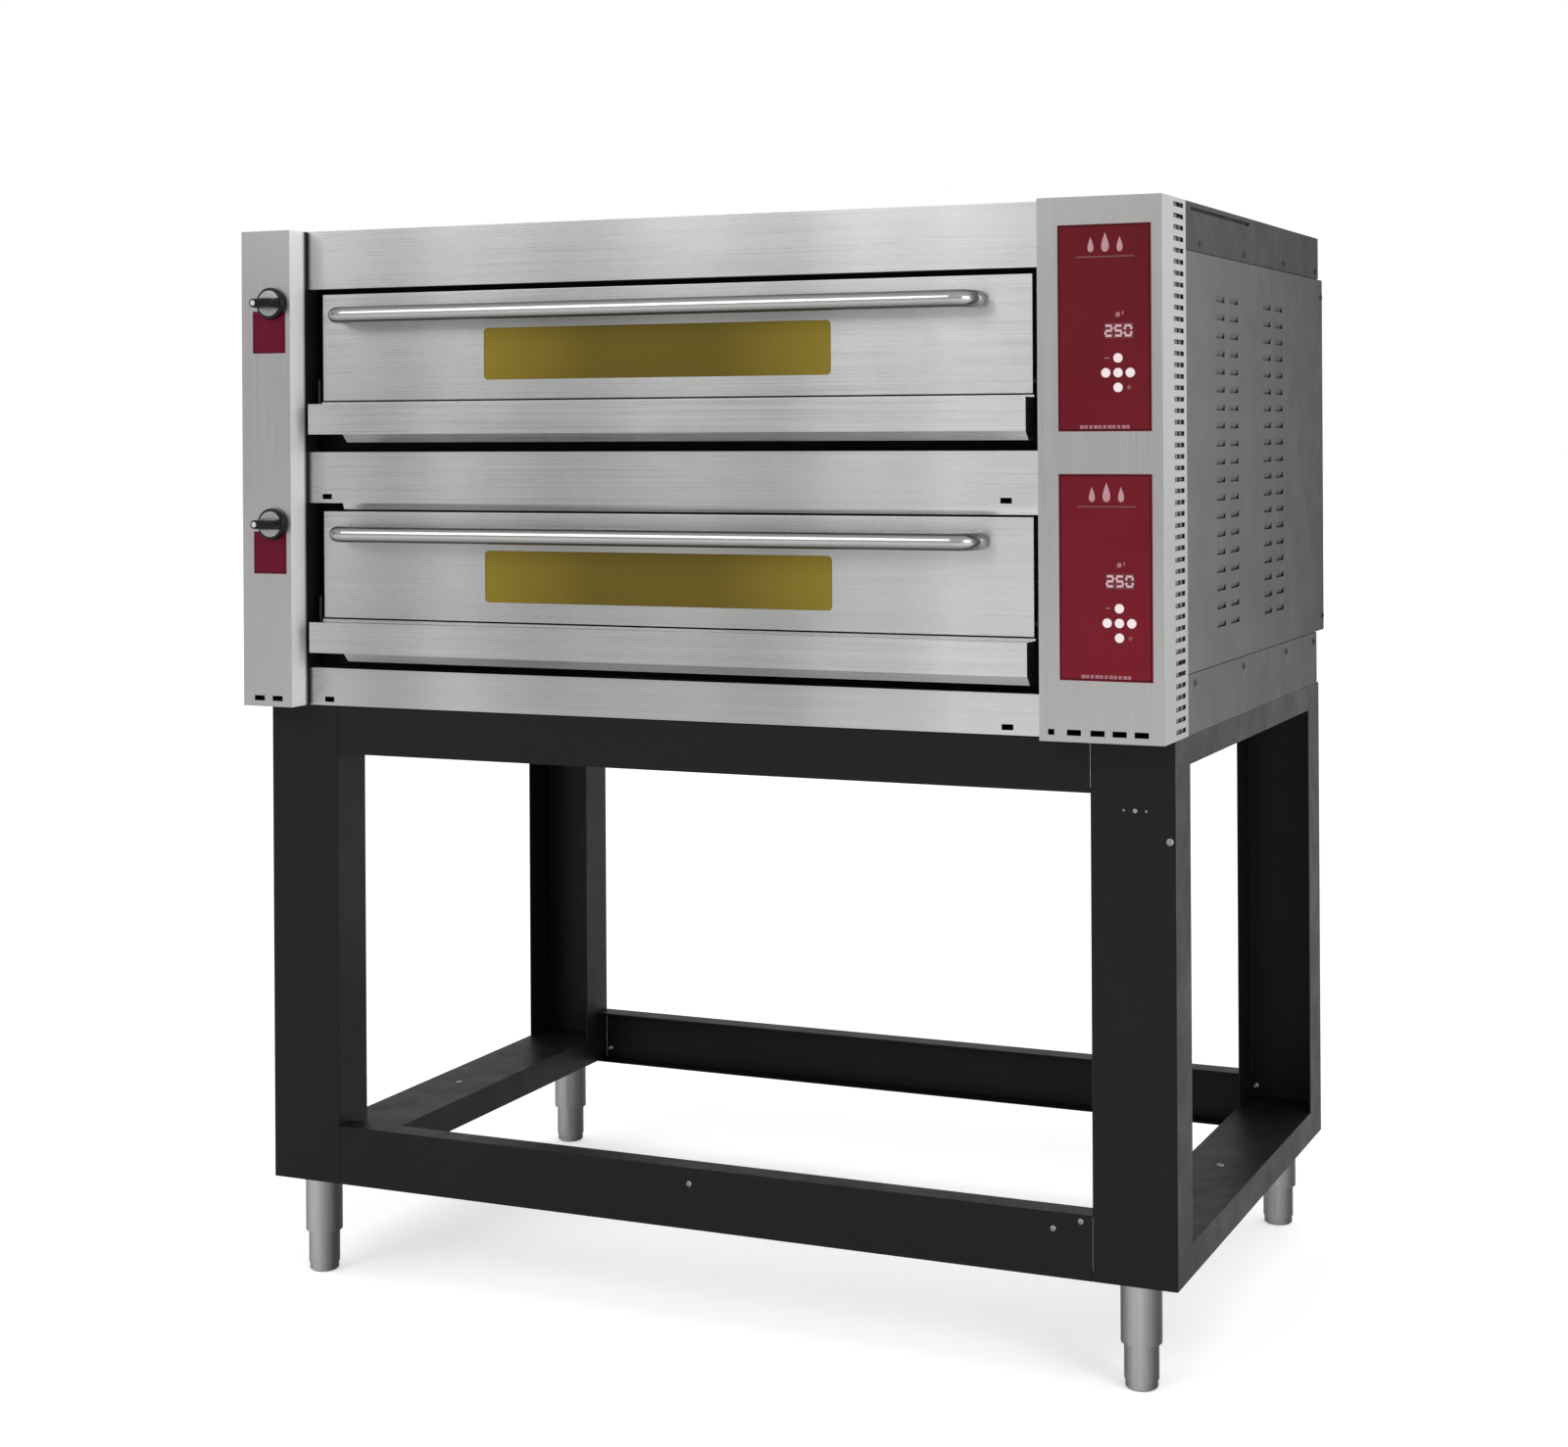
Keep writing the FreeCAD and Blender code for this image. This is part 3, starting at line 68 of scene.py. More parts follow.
class Mat:
    def __init__(self, name):
        self.m = bpy.data.materials.new(name)
        self.m.use_nodes = True
        self.t = self.m.node_tree
        self.t.nodes.clear()
        self.out = self.t.nodes.new("ShaderNodeOutputMaterial")
        self.p = self.t.nodes.new("ShaderNodeBsdfPrincipled")
        self.t.links.new(self.p.outputs[0], self.out.inputs[0])
        tc = self.t.nodes.new("ShaderNodeTexCoord")
        self.obj = tc.outputs["Object"]

    def link(self, a, b):
        self.t.links.new(a, b)

    def new(self, kind, **kw):
        n = self.t.nodes.new(kind)
        for k, v in kw.items():
            setattr(n, k, v)
        return n

    def set(self, **kw):
        names = {"color": "Base Color", "metal": "Metallic", "rough": "Roughness", "aniso": "Anisotropic", "rot": "Anisotropic Rotation",
                 "coat": "Coat Weight", "coat_rough": "Coat Roughness", "spec": "Specular IOR Level", "alpha": "Alpha", "trans": "Transmission Weight",
                 "ior": "IOR", "emit": "Emission Color", "emit_s": "Emission Strength", "sheen": "Sheen Weight"}
        for k, v in kw.items():
            s = self.p.inputs[names[k]]
            if isinstance(v, (int, float)):
                s.default_value = v
            elif isinstance(v, tuple):
                s.default_value = (*v, 1.0) if len(v) == 3 else v
            else:
                self.link(v, s)
        return self

    def scaled(self, sx, sy, sz, src=None):
        n = self.new("ShaderNodeMapping")
        n.inputs["Scale"].default_value = (sx, sy, sz)
        self.link(src or self.obj, n.inputs["Vector"])
        return n.outputs[0]

    def noise(self, vec, scale=1.0, detail=3.0, rough=0.55, dist=0.0):
        n = self.new("ShaderNodeTexNoise")
        n.inputs["Scale"].default_value = scale
        n.inputs["Detail"].default_value = detail
        n.inputs["Roughness"].default_value = rough
        n.inputs["Distortion"].default_value = dist
        self.link(vec, n.inputs["Vector"])
        return n.outputs["Fac"]

    def voronoi(self, vec, scale, feature="F1"):
        n = self.new("ShaderNodeTexVoronoi", feature=feature)
        n.inputs["Scale"].default_value = scale
        self.link(vec, n.inputs["Vector"])
        return n.outputs["Distance"]

    def range(self, val, a0, a1, b0, b1):
        n = self.new("ShaderNodeMapRange")
        for i, v in enumerate((a0, a1, b0, b1)):
            n.inputs[i + 1].default_value = v
        self.link(val, n.inputs[0])
        return n.outputs[0]

    def math(self, op, a, b=None):
        n = self.new("ShaderNodeMath", operation=op)
        for i, v in enumerate((a, b)):
            if v is None:
                continue
            if isinstance(v, (int, float)):
                n.inputs[i].default_value = v
            else:
                self.link(v, n.inputs[i])
        return n.outputs[0]

    def xyz(self, vec=None):
        n = self.new("ShaderNodeSeparateXYZ")
        self.link(vec or self.obj, n.inputs[0])
        return n.outputs

    def ramp(self, val, stops, interp="LINEAR"):
        n = self.new("ShaderNodeValToRGB")
        n.color_ramp.interpolation = interp
        el = n.color_ramp.elements
        while len(el) > 1:
            el.remove(el[-1])
        el[0].position = stops[0][0]
        el[0].color = (*stops[0][1], 1)
        for pos, col in stops[1:]:
            e = el.new(pos)
            e.color = (*col, 1)
        self.link(val, n.inputs[0])
        return n.outputs[0]

    def mul(self, col, fac):
        # Colour times a scalar.
        n = self.new("ShaderNodeVectorMath", operation="SCALE")
        if isinstance(col, tuple):
            n.inputs[0].default_value = col
        else:
            self.link(col, n.inputs[0])
        if isinstance(fac, (int, float)):
            n.inputs["Scale"].default_value = fac
        else:
            self.link(fac, n.inputs["Scale"])
        return n.outputs[0]

    def mix(self, fac, a, b):
        n = self.new("ShaderNodeMix", data_type="RGBA")
        for s, v in ((n.inputs[0], fac), (n.inputs[6], a), (n.inputs[7], b)):
            if isinstance(v, (int, float)):
                s.default_value = v
            elif isinstance(v, tuple):
                s.default_value = (*v, 1.0)
            else:
                self.link(v, s)
        return n.outputs[2]

    def bump(self, height, strength=0.1, dist=0.001, normal=None):
        n = self.new("ShaderNodeBump")
        n.inputs["Strength"].default_value = strength
        n.inputs["Distance"].default_value = dist
        self.link(height, n.inputs["Height"])
        if normal:
            self.link(normal, n.inputs["Normal"])
        self.link(n.outputs[0], self.p.inputs["Normal"])
        return n.outputs[0]


def brushed(name, col, rough=0.32, grain="x", aniso=0.55, streak=0.10, sheen=0.0, smear=0.06):
    """Brushed stainless sheet: long fine scratches along the grain, a soft large-scale cloudiness, finger smears, and
    with sheen a painted reflection of broad soft bands.
    """
    m = Mat(name)
    s = {"x": (2.5, 60.0, 620.0), "z": (620.0, 60.0, 2.5), "y": (60.0, 2.5, 620.0)}[grain]
    fine = m.noise(m.scaled(*s), 1.0, 5.0, 0.7)
    s2 = tuple(v * 0.28 if v > 50 else v * 0.45 for v in s)
    broad = m.noise(m.scaled(*s2), 1.0, 3.0, 0.5)
    cloud = m.noise(m.obj, 3.2, 3.0, 0.55, 0.4)
    k = m.math("ADD", m.range(fine, 0.25, 0.75, 1.0 - streak, 1.0 + streak * 0.6), m.range(broad, 0.3, 0.7, -0.02, 0.02))
    k = m.math("MULTIPLY", k, m.range(cloud, 0.3, 0.7, 0.95, 1.04))
    if sheen:
        # Painted reflection: broad soft light and dark bands standing across the grain, from plain noise, multiplied
        # into the colour.
        painted_sheen = m.noise(m.scaled(3.2, 0.0, 0.15), 1.0, 1.0, 0.4)
        k = m.math("MULTIPLY", k, m.range(painted_sheen, 0.3, 0.7, 1.0 - sheen, 1.0 + sheen))
    m.set(color=m.mul(col, k), metal=1.0)
    r = m.math("ADD", m.range(fine, 0.25, 0.75, rough - 0.07, rough + 0.08), m.range(m.noise(m.obj, 9.0, 4.0, 0.6, 0.8), 0.45, 0.75, 0.0, smear))
    m.set(rough=r, aniso=aniso, rot=0.25 if grain != "z" else 0.0)
    tan = m.new("ShaderNodeTangent", direction_type="RADIAL", axis="Z")
    m.link(tan.outputs[0], m.p.inputs["Tangent"])
    m.bump(fine, 0.035, 0.0002)
    return m.m


def satin(name, col, rough=0.45, metal=0.0, grain=900.0, bump=0.12, vary=0.06, rear_shade=0.0, coat=0.0, spec=0.5):
    """Painted or blasted sheet: orange-peel grain, slight cloudiness, dusty patches; a shade amount paints shade on
    it, lighter at the front and evenly darker towards the back.
    """
    m = Mat(name)
    peel = m.noise(m.obj, grain, 2.0, 0.5)
    cloud = m.noise(m.obj, 4.0, 4.0, 0.6, 0.5)
    k = m.range(cloud, 0.3, 0.7, 1.0 - vary, 1.0 + vary)
    # Painted shade: the colour is lighter at the front and evenly darker towards the back.
    if rear_shade:
        k = m.math("MULTIPLY", k, m.range(m.xyz()[1], cad_lo.y, cad_hi.y, 1.0 + rear_shade, 1.0 - rear_shade))
    m.set(color=m.mul(col, k), metal=metal, rough=m.range(m.noise(m.obj, 14.0, 5.0, 0.65), 0.3, 0.7, rough - 0.06, rough + 0.08), coat=coat, spec=spec)
    m.bump(peel, bump, 0.0004)
    return m.m


def tube(name, axis, rough=0.2, col=(0.80, 0.80, 0.79)):
    """Polished round bar with painted shade: the colour is full where the surface faces out and darker where it turns
    away along the axis.
    """
    m = Mat(name)
    fine = m.noise(m.scaled(3.0, 500.0, 500.0) if axis[2] else m.scaled(300.0, 300.0, 4.0), 1.0, 4.0, 0.6)
    g = m.new("ShaderNodeNewGeometry")
    d = m.new("ShaderNodeVectorMath", operation="DOT_PRODUCT")
    m.link(g.outputs["Normal"], d.inputs[0])
    d.inputs[1].default_value = axis
    # Painted shade: the colour darkens where the surface normal turns towards the axis.
    k = m.math("MULTIPLY", m.range(m.math("ABSOLUTE", d.outputs["Value"]), 0.2, 0.95, 1.0, 0.2), m.range(fine, 0.3, 0.7, 0.94, 1.05))
    m.set(color=m.mul(col, k), metal=1.0, rough=m.range(fine, 0.3, 0.7, rough - 0.03, rough + 0.05))
    m.bump(fine, 0.05, 0.0002)
    return m.m


def column_mat():
    """Vertically brushed cover; the return of the left cover carries a painted highlight, near white at its front
    edge, and a painted shadow, near black further in.
    """
    m = Mat("brushed_column")
    fine = m.noise(m.scaled(620.0, 60.0, 2.5), 1.0, 5.0, 0.7)
    cloud = m.noise(m.obj, 3.2, 3.0, 0.55, 0.4)
    k = m.math("MULTIPLY", m.range(fine, 0.25, 0.75, 0.92, 1.05), m.range(cloud, 0.3, 0.7, 0.95, 1.03))
    o = m.xyz()
    g = m.new("ShaderNodeNewGeometry")
    nx = m.range(m.xyz(g.outputs["Normal"])[0], 0.75, 0.95, 0.0, 1.0)
    inner = m.math("MULTIPLY", nx, m.range(o[0], -0.01, 0.01, 1.0, 0.0))
    inner = m.math("MULTIPLY", inner, m.range(o[0], -0.70, -0.68, 0.0, 1.0))
    # Painted highlight and shadow on the left return: near white at the front edge, near black deeper in.
    pale = m.range(o[1], -0.4635, -0.4560, 1.0, 0.0)
    tone = m.mix(inner, m.mul(STEEL, k), m.mix(pale, (0.012, 0.012, 0.012), (0.92, 0.92, 0.915)))
    m.set(color=tone, metal=m.math("SUBTRACT", 1.0, m.math("MULTIPLY", inner, 0.95)), rough=m.range(fine, 0.25, 0.75, 0.27, 0.42), aniso=0.4)
    tan = m.new("ShaderNodeTangent", direction_type="RADIAL", axis="Z")
    m.link(tan.outputs[0], m.p.inputs["Tangent"])
    m.bump(fine, 0.10, 0.00035)
    return m.m


STEEL = (0.52, 0.52, 0.515)
M = {}
# The front sheets carry painted reflection bands in their colour (sheen 0.34).
M["front"] = brushed("brushed_front", STEEL, 0.28, "x", 0.6, 0.03, 0.34, 0.03)
M["column"] = column_mat()
M["tube"] = tube("polished_tube", (0, 0, 1), 0.20, (0.50, 0.50, 0.49))
M["disc"] = brushed("knob_disc", (0.42, 0.42, 0.43), 0.34, "x", 0.2, 0.05)
M["foot"] = tube("foot_steel", (1, 0, 0), 0.26, (0.50, 0.50, 0.49))
# Side, cover, pan and louvre sheets carry painted shade, lighter at the front and darker towards the back.
M["side"] = satin("side_steel", (0.105, 0.105, 0.113), 0.55, 0.0, 900.0, 0.05, 0.05, 0.5, 0.0, 0.10)
M["cover"] = satin("cover_steel", (0.05, 0.05, 0.054), 0.55, 0.0, 900.0, 0.05, 0.05, 0.4, 0.0, 0.08)
M["pan"] = satin("pan_steel", (0.10, 0.10, 0.107), 0.55, 0.0, 900.0, 0.05, 0.05, 0.3, 0.0, 0.10)
M["backing"] = satin("slot_backing", (0.26, 0.26, 0.265), 0.6, 0.0, 900.0, 0.05, 0.05, 0.0, 0.0, 0.05)
M["louvre"] = satin("louvre_backing", (0.08, 0.08, 0.085), 0.6, 0.0, 900.0, 0.05, 0.05, 0.4, 0.0, 0.05)
M["chamber"] = brushed("chamber_steel", (0.50, 0.47, 0.43), 0.42, "y", 0.2, 0.10, 0.0, 0.10)
M["black"] = satin("black_frame", (0.006, 0.006, 0.0065), 0.6, 0.0, 800.0, 0.1, 0.06, 0.0, 0.0, 0.1)
M["stand"] = satin("stand_paint", (0.0078, 0.0078, 0.0082), 0.42, 0.0, 1500.0, 0.16, 0.08, 0.0, 0.0, 0.18)
M["hinge"] = brushed("hinge_steel", (0.040, 0.040, 0.040), 0.40, "x", 0.2, 0.08)
M["screw"] = brushed("screw_zinc", (0.36, 0.36, 0.35), 0.35, "x", 0.1, 0.05)
M["sidescrew"] = satin("screw_dark", (0.06, 0.06, 0.063), 0.5, 0.0, 900.0, 0.05, 0.05, 0.3, 0.0, 0.1)


def stone_mat():
    m = Mat("hearth_stone")
    grit = m.noise(m.obj, 420.0, 4.0, 0.7)
    blot = m.noise(m.obj, 7.0, 5.0, 0.6, 1.0)
    scorch = m.ramp(blot, [(0.35, (0.55, 0.46, 0.34)), (0.55, (0.66, 0.57, 0.44)), (0.75, (0.30, 0.23, 0.16))])
    m.set(color=m.mul(scorch, m.range(grit, 0.2, 0.8, 0.82, 1.12)), rough=0.9)
    m.bump(grit, 0.5, 0.0006)
    return m.m


def rod_mat():
    m = Mat("rod_sheath")
    n = m.noise(m.scaled(14, 60, 60), 1.0, 4.0, 0.6)
    m.set(color=m.ramp(n, [(0.3, (0.05, 0.045, 0.045)), (0.55, (0.12, 0.09, 0.07)), (0.8, (0.20, 0.14, 0.10))]), metal=0.7, rough=m.range(n, 0.3, 0.7, 0.42, 0.62))
    m.bump(n, 0.15, 0.0003)
    return m.m


def wool_mat():
    m = Mat("mineral_wool")
    f = m.noise(m.scaled(60, 60, 500), 1.0, 6.0, 0.75, 1.5)
    m.set(color=m.ramp(f, [(0.3, (0.30, 0.25, 0.12)), (0.7, (0.58, 0.52, 0.32))]), rough=0.95, sheen=0.3)
    m.bump(f, 0.8, 0.002)
    return m.m


def rope_mat():
    m = Mat("rope_seal")
    w = m.new("ShaderNodeTexWave", wave_type="BANDS", bands_direction="DIAGONAL")
    w.inputs["Scale"].default_value = 260.0
    w.inputs["Distortion"].default_value = 1.2
    m.link(m.obj, w.inputs["Vector"])
    n = m.noise(m.obj, 500.0, 3.0)
    m.set(color=m.ramp(w.outputs["Fac"], [(0.0, (0.28, 0.26, 0.22)), (1.0, (0.62, 0.59, 0.52))]), rough=0.9, sheen=0.4)
    m.bump(m.math("ADD", w.outputs["Fac"], n), 0.6, 0.0008)
    return m.m


def glass_mat():
    """Warm tinted pane with painted light: brighter towards its ends, where the chamber lamps sit, and a painted
    shadow darkening its rim.
    """
    m = Mat("amber_glass")
    lo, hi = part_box("lower_door_glass")
    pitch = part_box("upper_door_glass")[0].z - lo.z
    o = m.xyz()
    glow = m.noise(m.scaled(1.6, 1.0, 3.0), 1.0, 2.0, 0.5)
    off = m.math("ABSOLUTE", m.math("SUBTRACT", o[0], (lo.x + hi.x) / 2))
    half = (hi.x - lo.x) / 2
    # Painted light: the colour brightens from the middle of the pane towards its ends.
    col = m.mix(m.range(off, half * 0.35, half * 0.95, 0.0, 1.0), (0.14, 0.10, 0.012), (0.26, 0.19, 0.022))
    zz = m.math("MODULO", m.math("SUBTRACT", o[2], lo.z), pitch)
    # Painted shadow: the colour darkens within a few millimetres of the pane's rim.
    edge = m.math("MINIMUM", m.math("MINIMUM", zz, m.math("SUBTRACT", hi.z - lo.z, zz)), m.math("SUBTRACT", half, off))
    k = m.math("MULTIPLY", m.range(edge, 0.001, 0.005, 0.3, 1.0), m.range(glow, 0.3, 0.7, 0.92, 1.08))
    m.set(color=m.mul(col, k), rough=m.range(m.noise(m.obj, 30.0, 3.0), 0.3, 0.7, 0.20, 0.28), spec=0.15)
    m.bump(m.noise(m.obj, 18.0, 2.0), 0.02, 0.0005)
    return m.m


def lamp_mat():
    m = Mat("lamp_glass")
    n = m.noise(m.obj, 60.0, 3.0)
    m.set(color=m.mul((0.9, 0.8, 0.55), m.range(n, 0.3, 0.7, 0.85, 1.0)), rough=0.15, emit=(1.0, 0.72, 0.36), emit_s=0.35)
    m.bump(n, 0.1, 0.0004)
    return m.m


def plastic(name, col, rough=0.35, grain=1200.0, bump=0.06, coat=0.0, vary=0.05, spec=0.5):
    m = Mat(name)
    g = m.noise(m.obj, grain, 2.0, 0.5)
    c = m.noise(m.obj, 22.0, 4.0, 0.6)
    m.set(color=m.mul(col, m.range(c, 0.3, 0.7, 1 - vary, 1 + vary)), rough=m.range(c, 0.3, 0.7, rough - 0.04, rough + 0.05), coat=coat, coat_rough=0.1, spec=spec)
    m.bump(g, bump, 0.0003)
    return m.m


def panel_mat():
    """Dark red film over steel: lighter at the bottom and darker at the top, with faint orange peel."""
    m = Mat("panel_red")
    z = m.range(m.xyz()[2], 0.95, 1.62, 0.0, 1.0)
    n = m.noise(m.obj, 12.0, 4.0, 0.6)
    m.set(color=m.mul(m.mix(z, (0.17, 0.007, 0.017), (0.11, 0.005, 0.010)), m.range(n, 0.3, 0.7, 0.95, 1.05)),
          rough=m.range(n, 0.3, 0.7, 0.34, 0.44), spec=0.14)
    m.bump(m.noise(m.obj, 900.0, 2.0), 0.05, 0.0003)
    return m.m


def board_mat():
    m = Mat("circuit_board")
    n = m.noise(m.obj, 60.0, 3.0)
    v = m.voronoi(m.obj, 160.0)
    m.set(color=m.mix(m.range(v, 0.0, 0.35, 1.0, 0.0), (0.02, 0.12, 0.05), (0.30, 0.28, 0.12)), rough=m.range(n, 0.3, 0.7, 0.35, 0.5))
    m.bump(v, 0.2, 0.0004)
    return m.m


M["stone"] = stone_mat()
M["rod"] = rod_mat()
M["wool"] = wool_mat()
M["rope"] = rope_mat()
M["glass"] = glass_mat()
M["lamp"] = lamp_mat()
M["knob"] = plastic("knob_black", (0.004, 0.004, 0.0045), 0.22, 1500.0, 0.04, 0.0, 0.05, 0.30)
M["label"] = plastic("label_red", (0.125, 0.0030, 0.022), 0.38, 900.0, 0.05, 0.0, 0.05, 0.12)
M["panel"] = panel_mat()
M["line"] = plastic("panel_edge", (0.050, 0.004, 0.008), 0.4, 1200.0, 0.06, 0.0, 0.05, 0.1)
M["white"] = plastic("print_white", (0.62, 0.58, 0.59), 0.4)
M["mark"] = plastic("print_mark", (0.46, 0.245, 0.275), 0.4)
M["faint"] = plastic("print_faint", (0.17, 0.050, 0.060), 0.4)
M["pink"] = plastic("print_pale", (0.34, 0.13, 0.16), 0.4)
M["key"] = plastic("key_white", (0.88, 0.75, 0.76), 0.32, 900.0, 0.05, 0.1)
M["display"] = plastic("display_window", (0.150, 0.030, 0.040), 0.16, 400.0, 0.02, 0.0, 0.05, 0.25)
M["digit"] = plastic("display_digit", (0.60, 0.40, 0.43), 0.3)
M["board"] = board_mat()
M["gear"] = plastic("switchgear", (0.07, 0.07, 0.075), 0.45)
M["fan"] = plastic("fan_plastic", (0.012, 0.012, 0.013), 0.42, 1200.0, 0.06, 0.0, 0.05, 0.25)
M["rubber"] = plastic("cable_black", (0.010, 0.010, 0.010), 0.55, 700.0, 0.2, 0.0, 0.05, 0.25)

SLOT = {"brushed_front": "front", "polished_tube": "tube", "side_steel": "side", "cover_steel": "cover", "chamber_steel": "chamber", "black_steel": "black",
        "stand_paint": "stand", "foot_steel": "foot", "stone": "stone", "rod_sheath": "rod", "wool": "wool", "rope_seal": "rope", "hinge_steel": "hinge",
        "amber_glass": "glass", "lamp_glass": "lamp", "knob_plastic": "knob", "label_red": "label", "panel_red": "panel", "display": "display", "key_white": "key",
        "board": "board", "switchgear": "gear", "fan_plastic": "fan", "cable_black": "rubber", "screw_zinc": "screw"}
slot_of = {s["node"]: s["material_slot"] for s in frame["record"]["subparts"]}
SHARP = {"insulation_blankets", "control_boards", "contactor_rail"}
for name, o in NODES.items():
    mat = M[SLOT[slot_of[name]]]
    special = {"left_column_cover": "column", "right_column_cover": "column", "base_pan": "pan", "door_sills": "front", "lower_fascia": "front",
               "top_fascia": "front", "middle_fascia": "front", "upper_door_skin": "front", "lower_door_skin": "front"}
    if name in special:
        mat = M[special[name]]
    o.data.materials.clear()
    o.data.materials.append(mat)
    w = o.modifiers.new("weld", "WELD")
    w.merge_threshold = 0.00001
    d = o.modifiers.new("flat", "DECIMATE")
    d.decimate_type = "DISSOLVE"
    d.angle_limit = math.radians(0.4)
    thin = name in ("left_side_panel", "right_side_panel", "rear_panel", "flue_ducts", "fan_rotor", "chassis_frame")
    # The liners' thin folded sheet comes apart under a bevel, so it keeps its square edges.
    if name != "chamber_liners":
        b = o.modifiers.new("edge", "BEVEL")
        b.width = 0.0004 if thin else (0.0012 if name.startswith("stand_") else 0.0007)
        b.segments = 2
        b.limit_method = "ANGLE"
        b.angle_limit = math.radians(40)
        b.use_clamp_overlap = True
        b.harden_normals = False
    for p in o.data.polygons:
        p.use_smooth = True
    n = o.modifiers.new("normals", "WEIGHTED_NORMAL")
    n.keep_sharp = True

# ------------------------------------------------------------------ mesh helpers


def finish_mesh(name, bm, mat, body, bevel=0.0, smooth=True, seg=2, subdiv=0, angle=35):
    bmesh.ops.remove_doubles(bm, verts=bm.verts, dist=1e-7)
    bmesh.ops.recalc_face_normals(bm, faces=bm.faces)
    me = bpy.data.meshes.new(name)
    bm.to_mesh(me)
    bm.free()
    o = bpy.data.objects.new(name, me)
    bpy.context.scene.collection.objects.link(o)
    me.materials.append(M[mat] if isinstance(mat, str) else mat)
    for p in me.polygons:
        p.use_smooth = smooth
    if bevel:
        b = o.modifiers.new("edge", "BEVEL")
        b.width = bevel
        b.segments = seg
        b.limit_method = "ANGLE"
        b.angle_limit = math.radians(angle)
    if subdiv:
        s = o.modifiers.new("sub", "SUBSURF")
        s.levels = s.render_levels = subdiv
    n = o.modifiers.new("normals", "WEIGHTED_NORMAL")
    n.keep_sharp = True
    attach(o, body)
    return o


def add_box(bm, x0, x1, y0, y1, z0, z1):
    vs = [bm.verts.new(v) for v in ((x0, y0, z0), (x1, y0, z0), (x1, y1, z0), (x0, y1, z0), (x0, y0, z1), (x1, y0, z1), (x1, y1, z1), (x0, y1, z1))]
    for f in ((0, 3, 2, 1), (4, 5, 6, 7), (0, 1, 5, 4), (1, 2, 6, 5), (2, 3, 7, 6), (3, 0, 4, 7)):
        bm.faces.new([vs[i] for i in f])
    return vs


def lathe(bm, profile, centre, axis, n=48, flute=None):
    """Profile is (radius, distance along axis) pairs; closed at both ends on the axis when the radius is 0."""
    ax = Vector(axis).normalized()
    up = Vector((0, 0, 1)) if abs(ax.z) < 0.9 else Vector((1, 0, 0))
    u = (up - ax * up.dot(ax)).normalized()
    v = ax.cross(u)
    c = Vector(centre)
    rings = []
    for r, d in profile:
        if r < 1e-9:
            rings.append([bm.verts.new(c + ax * d)])
            continue
        ring = []
        for i in range(n):
            a = 2 * math.pi * i / n
            rr = r * (flute(a, d, r) if flute else 1.0)
            ring.append(bm.verts.new(c + ax * d + (u * math.cos(a) + v * math.sin(a)) * rr))
        rings.append(ring)
    for a, b in zip(rings, rings[1:]):
        for i in range(n):
            j = (i + 1) % n
            if len(a) == 1 and len(b) == 1:
                continue
            if len(a) == 1:
                bm.faces.new([a[0], b[i], b[j]])
            elif len(b) == 1:
                bm.faces.new([a[i], a[j], b[0]])
            else:
                bm.faces.new([a[i], a[j], b[j], b[i]])


def sweep(bm, path, r, n=28, cap=True):
    """Round tube along a list of points."""
    rings = []
    ref = None
    for i, p in enumerate(path):
        t = (path[min(i + 1, len(path) - 1)] - path[max(i - 1, 0)]).normalized()
        if ref is None:
            ref = t.orthogonal().normalized()
        u = (ref - t * ref.dot(t)).normalized()
        ref = u
        v = t.cross(u)
        rings.append([bm.verts.new(p + (u * math.cos(2 * math.pi * k / n) + v * math.sin(2 * math.pi * k / n)) * r) for k in range(n)])
    for a, b in zip(rings, rings[1:]):
        for k in range(n):
            bm.faces.new([a[k], a[(k + 1) % n], b[(k + 1) % n], b[k]])
    if cap:
        bm.faces.new(rings[0][::-1])
        bm.faces.new(rings[-1])


def centre_of(node):
    lo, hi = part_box(node)
    return (lo + hi) / 2


# ------------------------------------------------------------------ door handles
for d in ("upper", "lower"):
    lo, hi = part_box(d + "_door_handle")
    r = (hi.z - lo.z) / 2
    z = (lo.z + hi.z) / 2
    ybase, yax = hi.y, lo.y + r
    xa, xb = lo.x + r, hi.x - r
    R = 0.027
    pts = [Vector((xa, ybase, z))]
    for k in range(13):
        a = math.pi + k / 12 * math.pi / 2
        pts.append(Vector((xa + R + R * math.cos(a), yax + R + R * math.sin(a), z)))
    for k in range(1, 24):
        pts.append(Vector((xa + R + (xb - xa - 2 * R) * k / 24, yax, z)))
    for k in range(13):
        a = 1.5 * math.pi + k / 12 * math.pi / 2
        pts.append(Vector((xb - R + R * math.cos(a), yax + R + R * math.sin(a), z)))
    pts.append(Vector((xb, ybase, z)))
    bm = bmesh.new()
    sweep(bm, pts, r, 36)
    o = finish_mesh(d + "_grip_tube", bm, "tube", d + "_door", 0)
    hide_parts(d + "_door_handle")

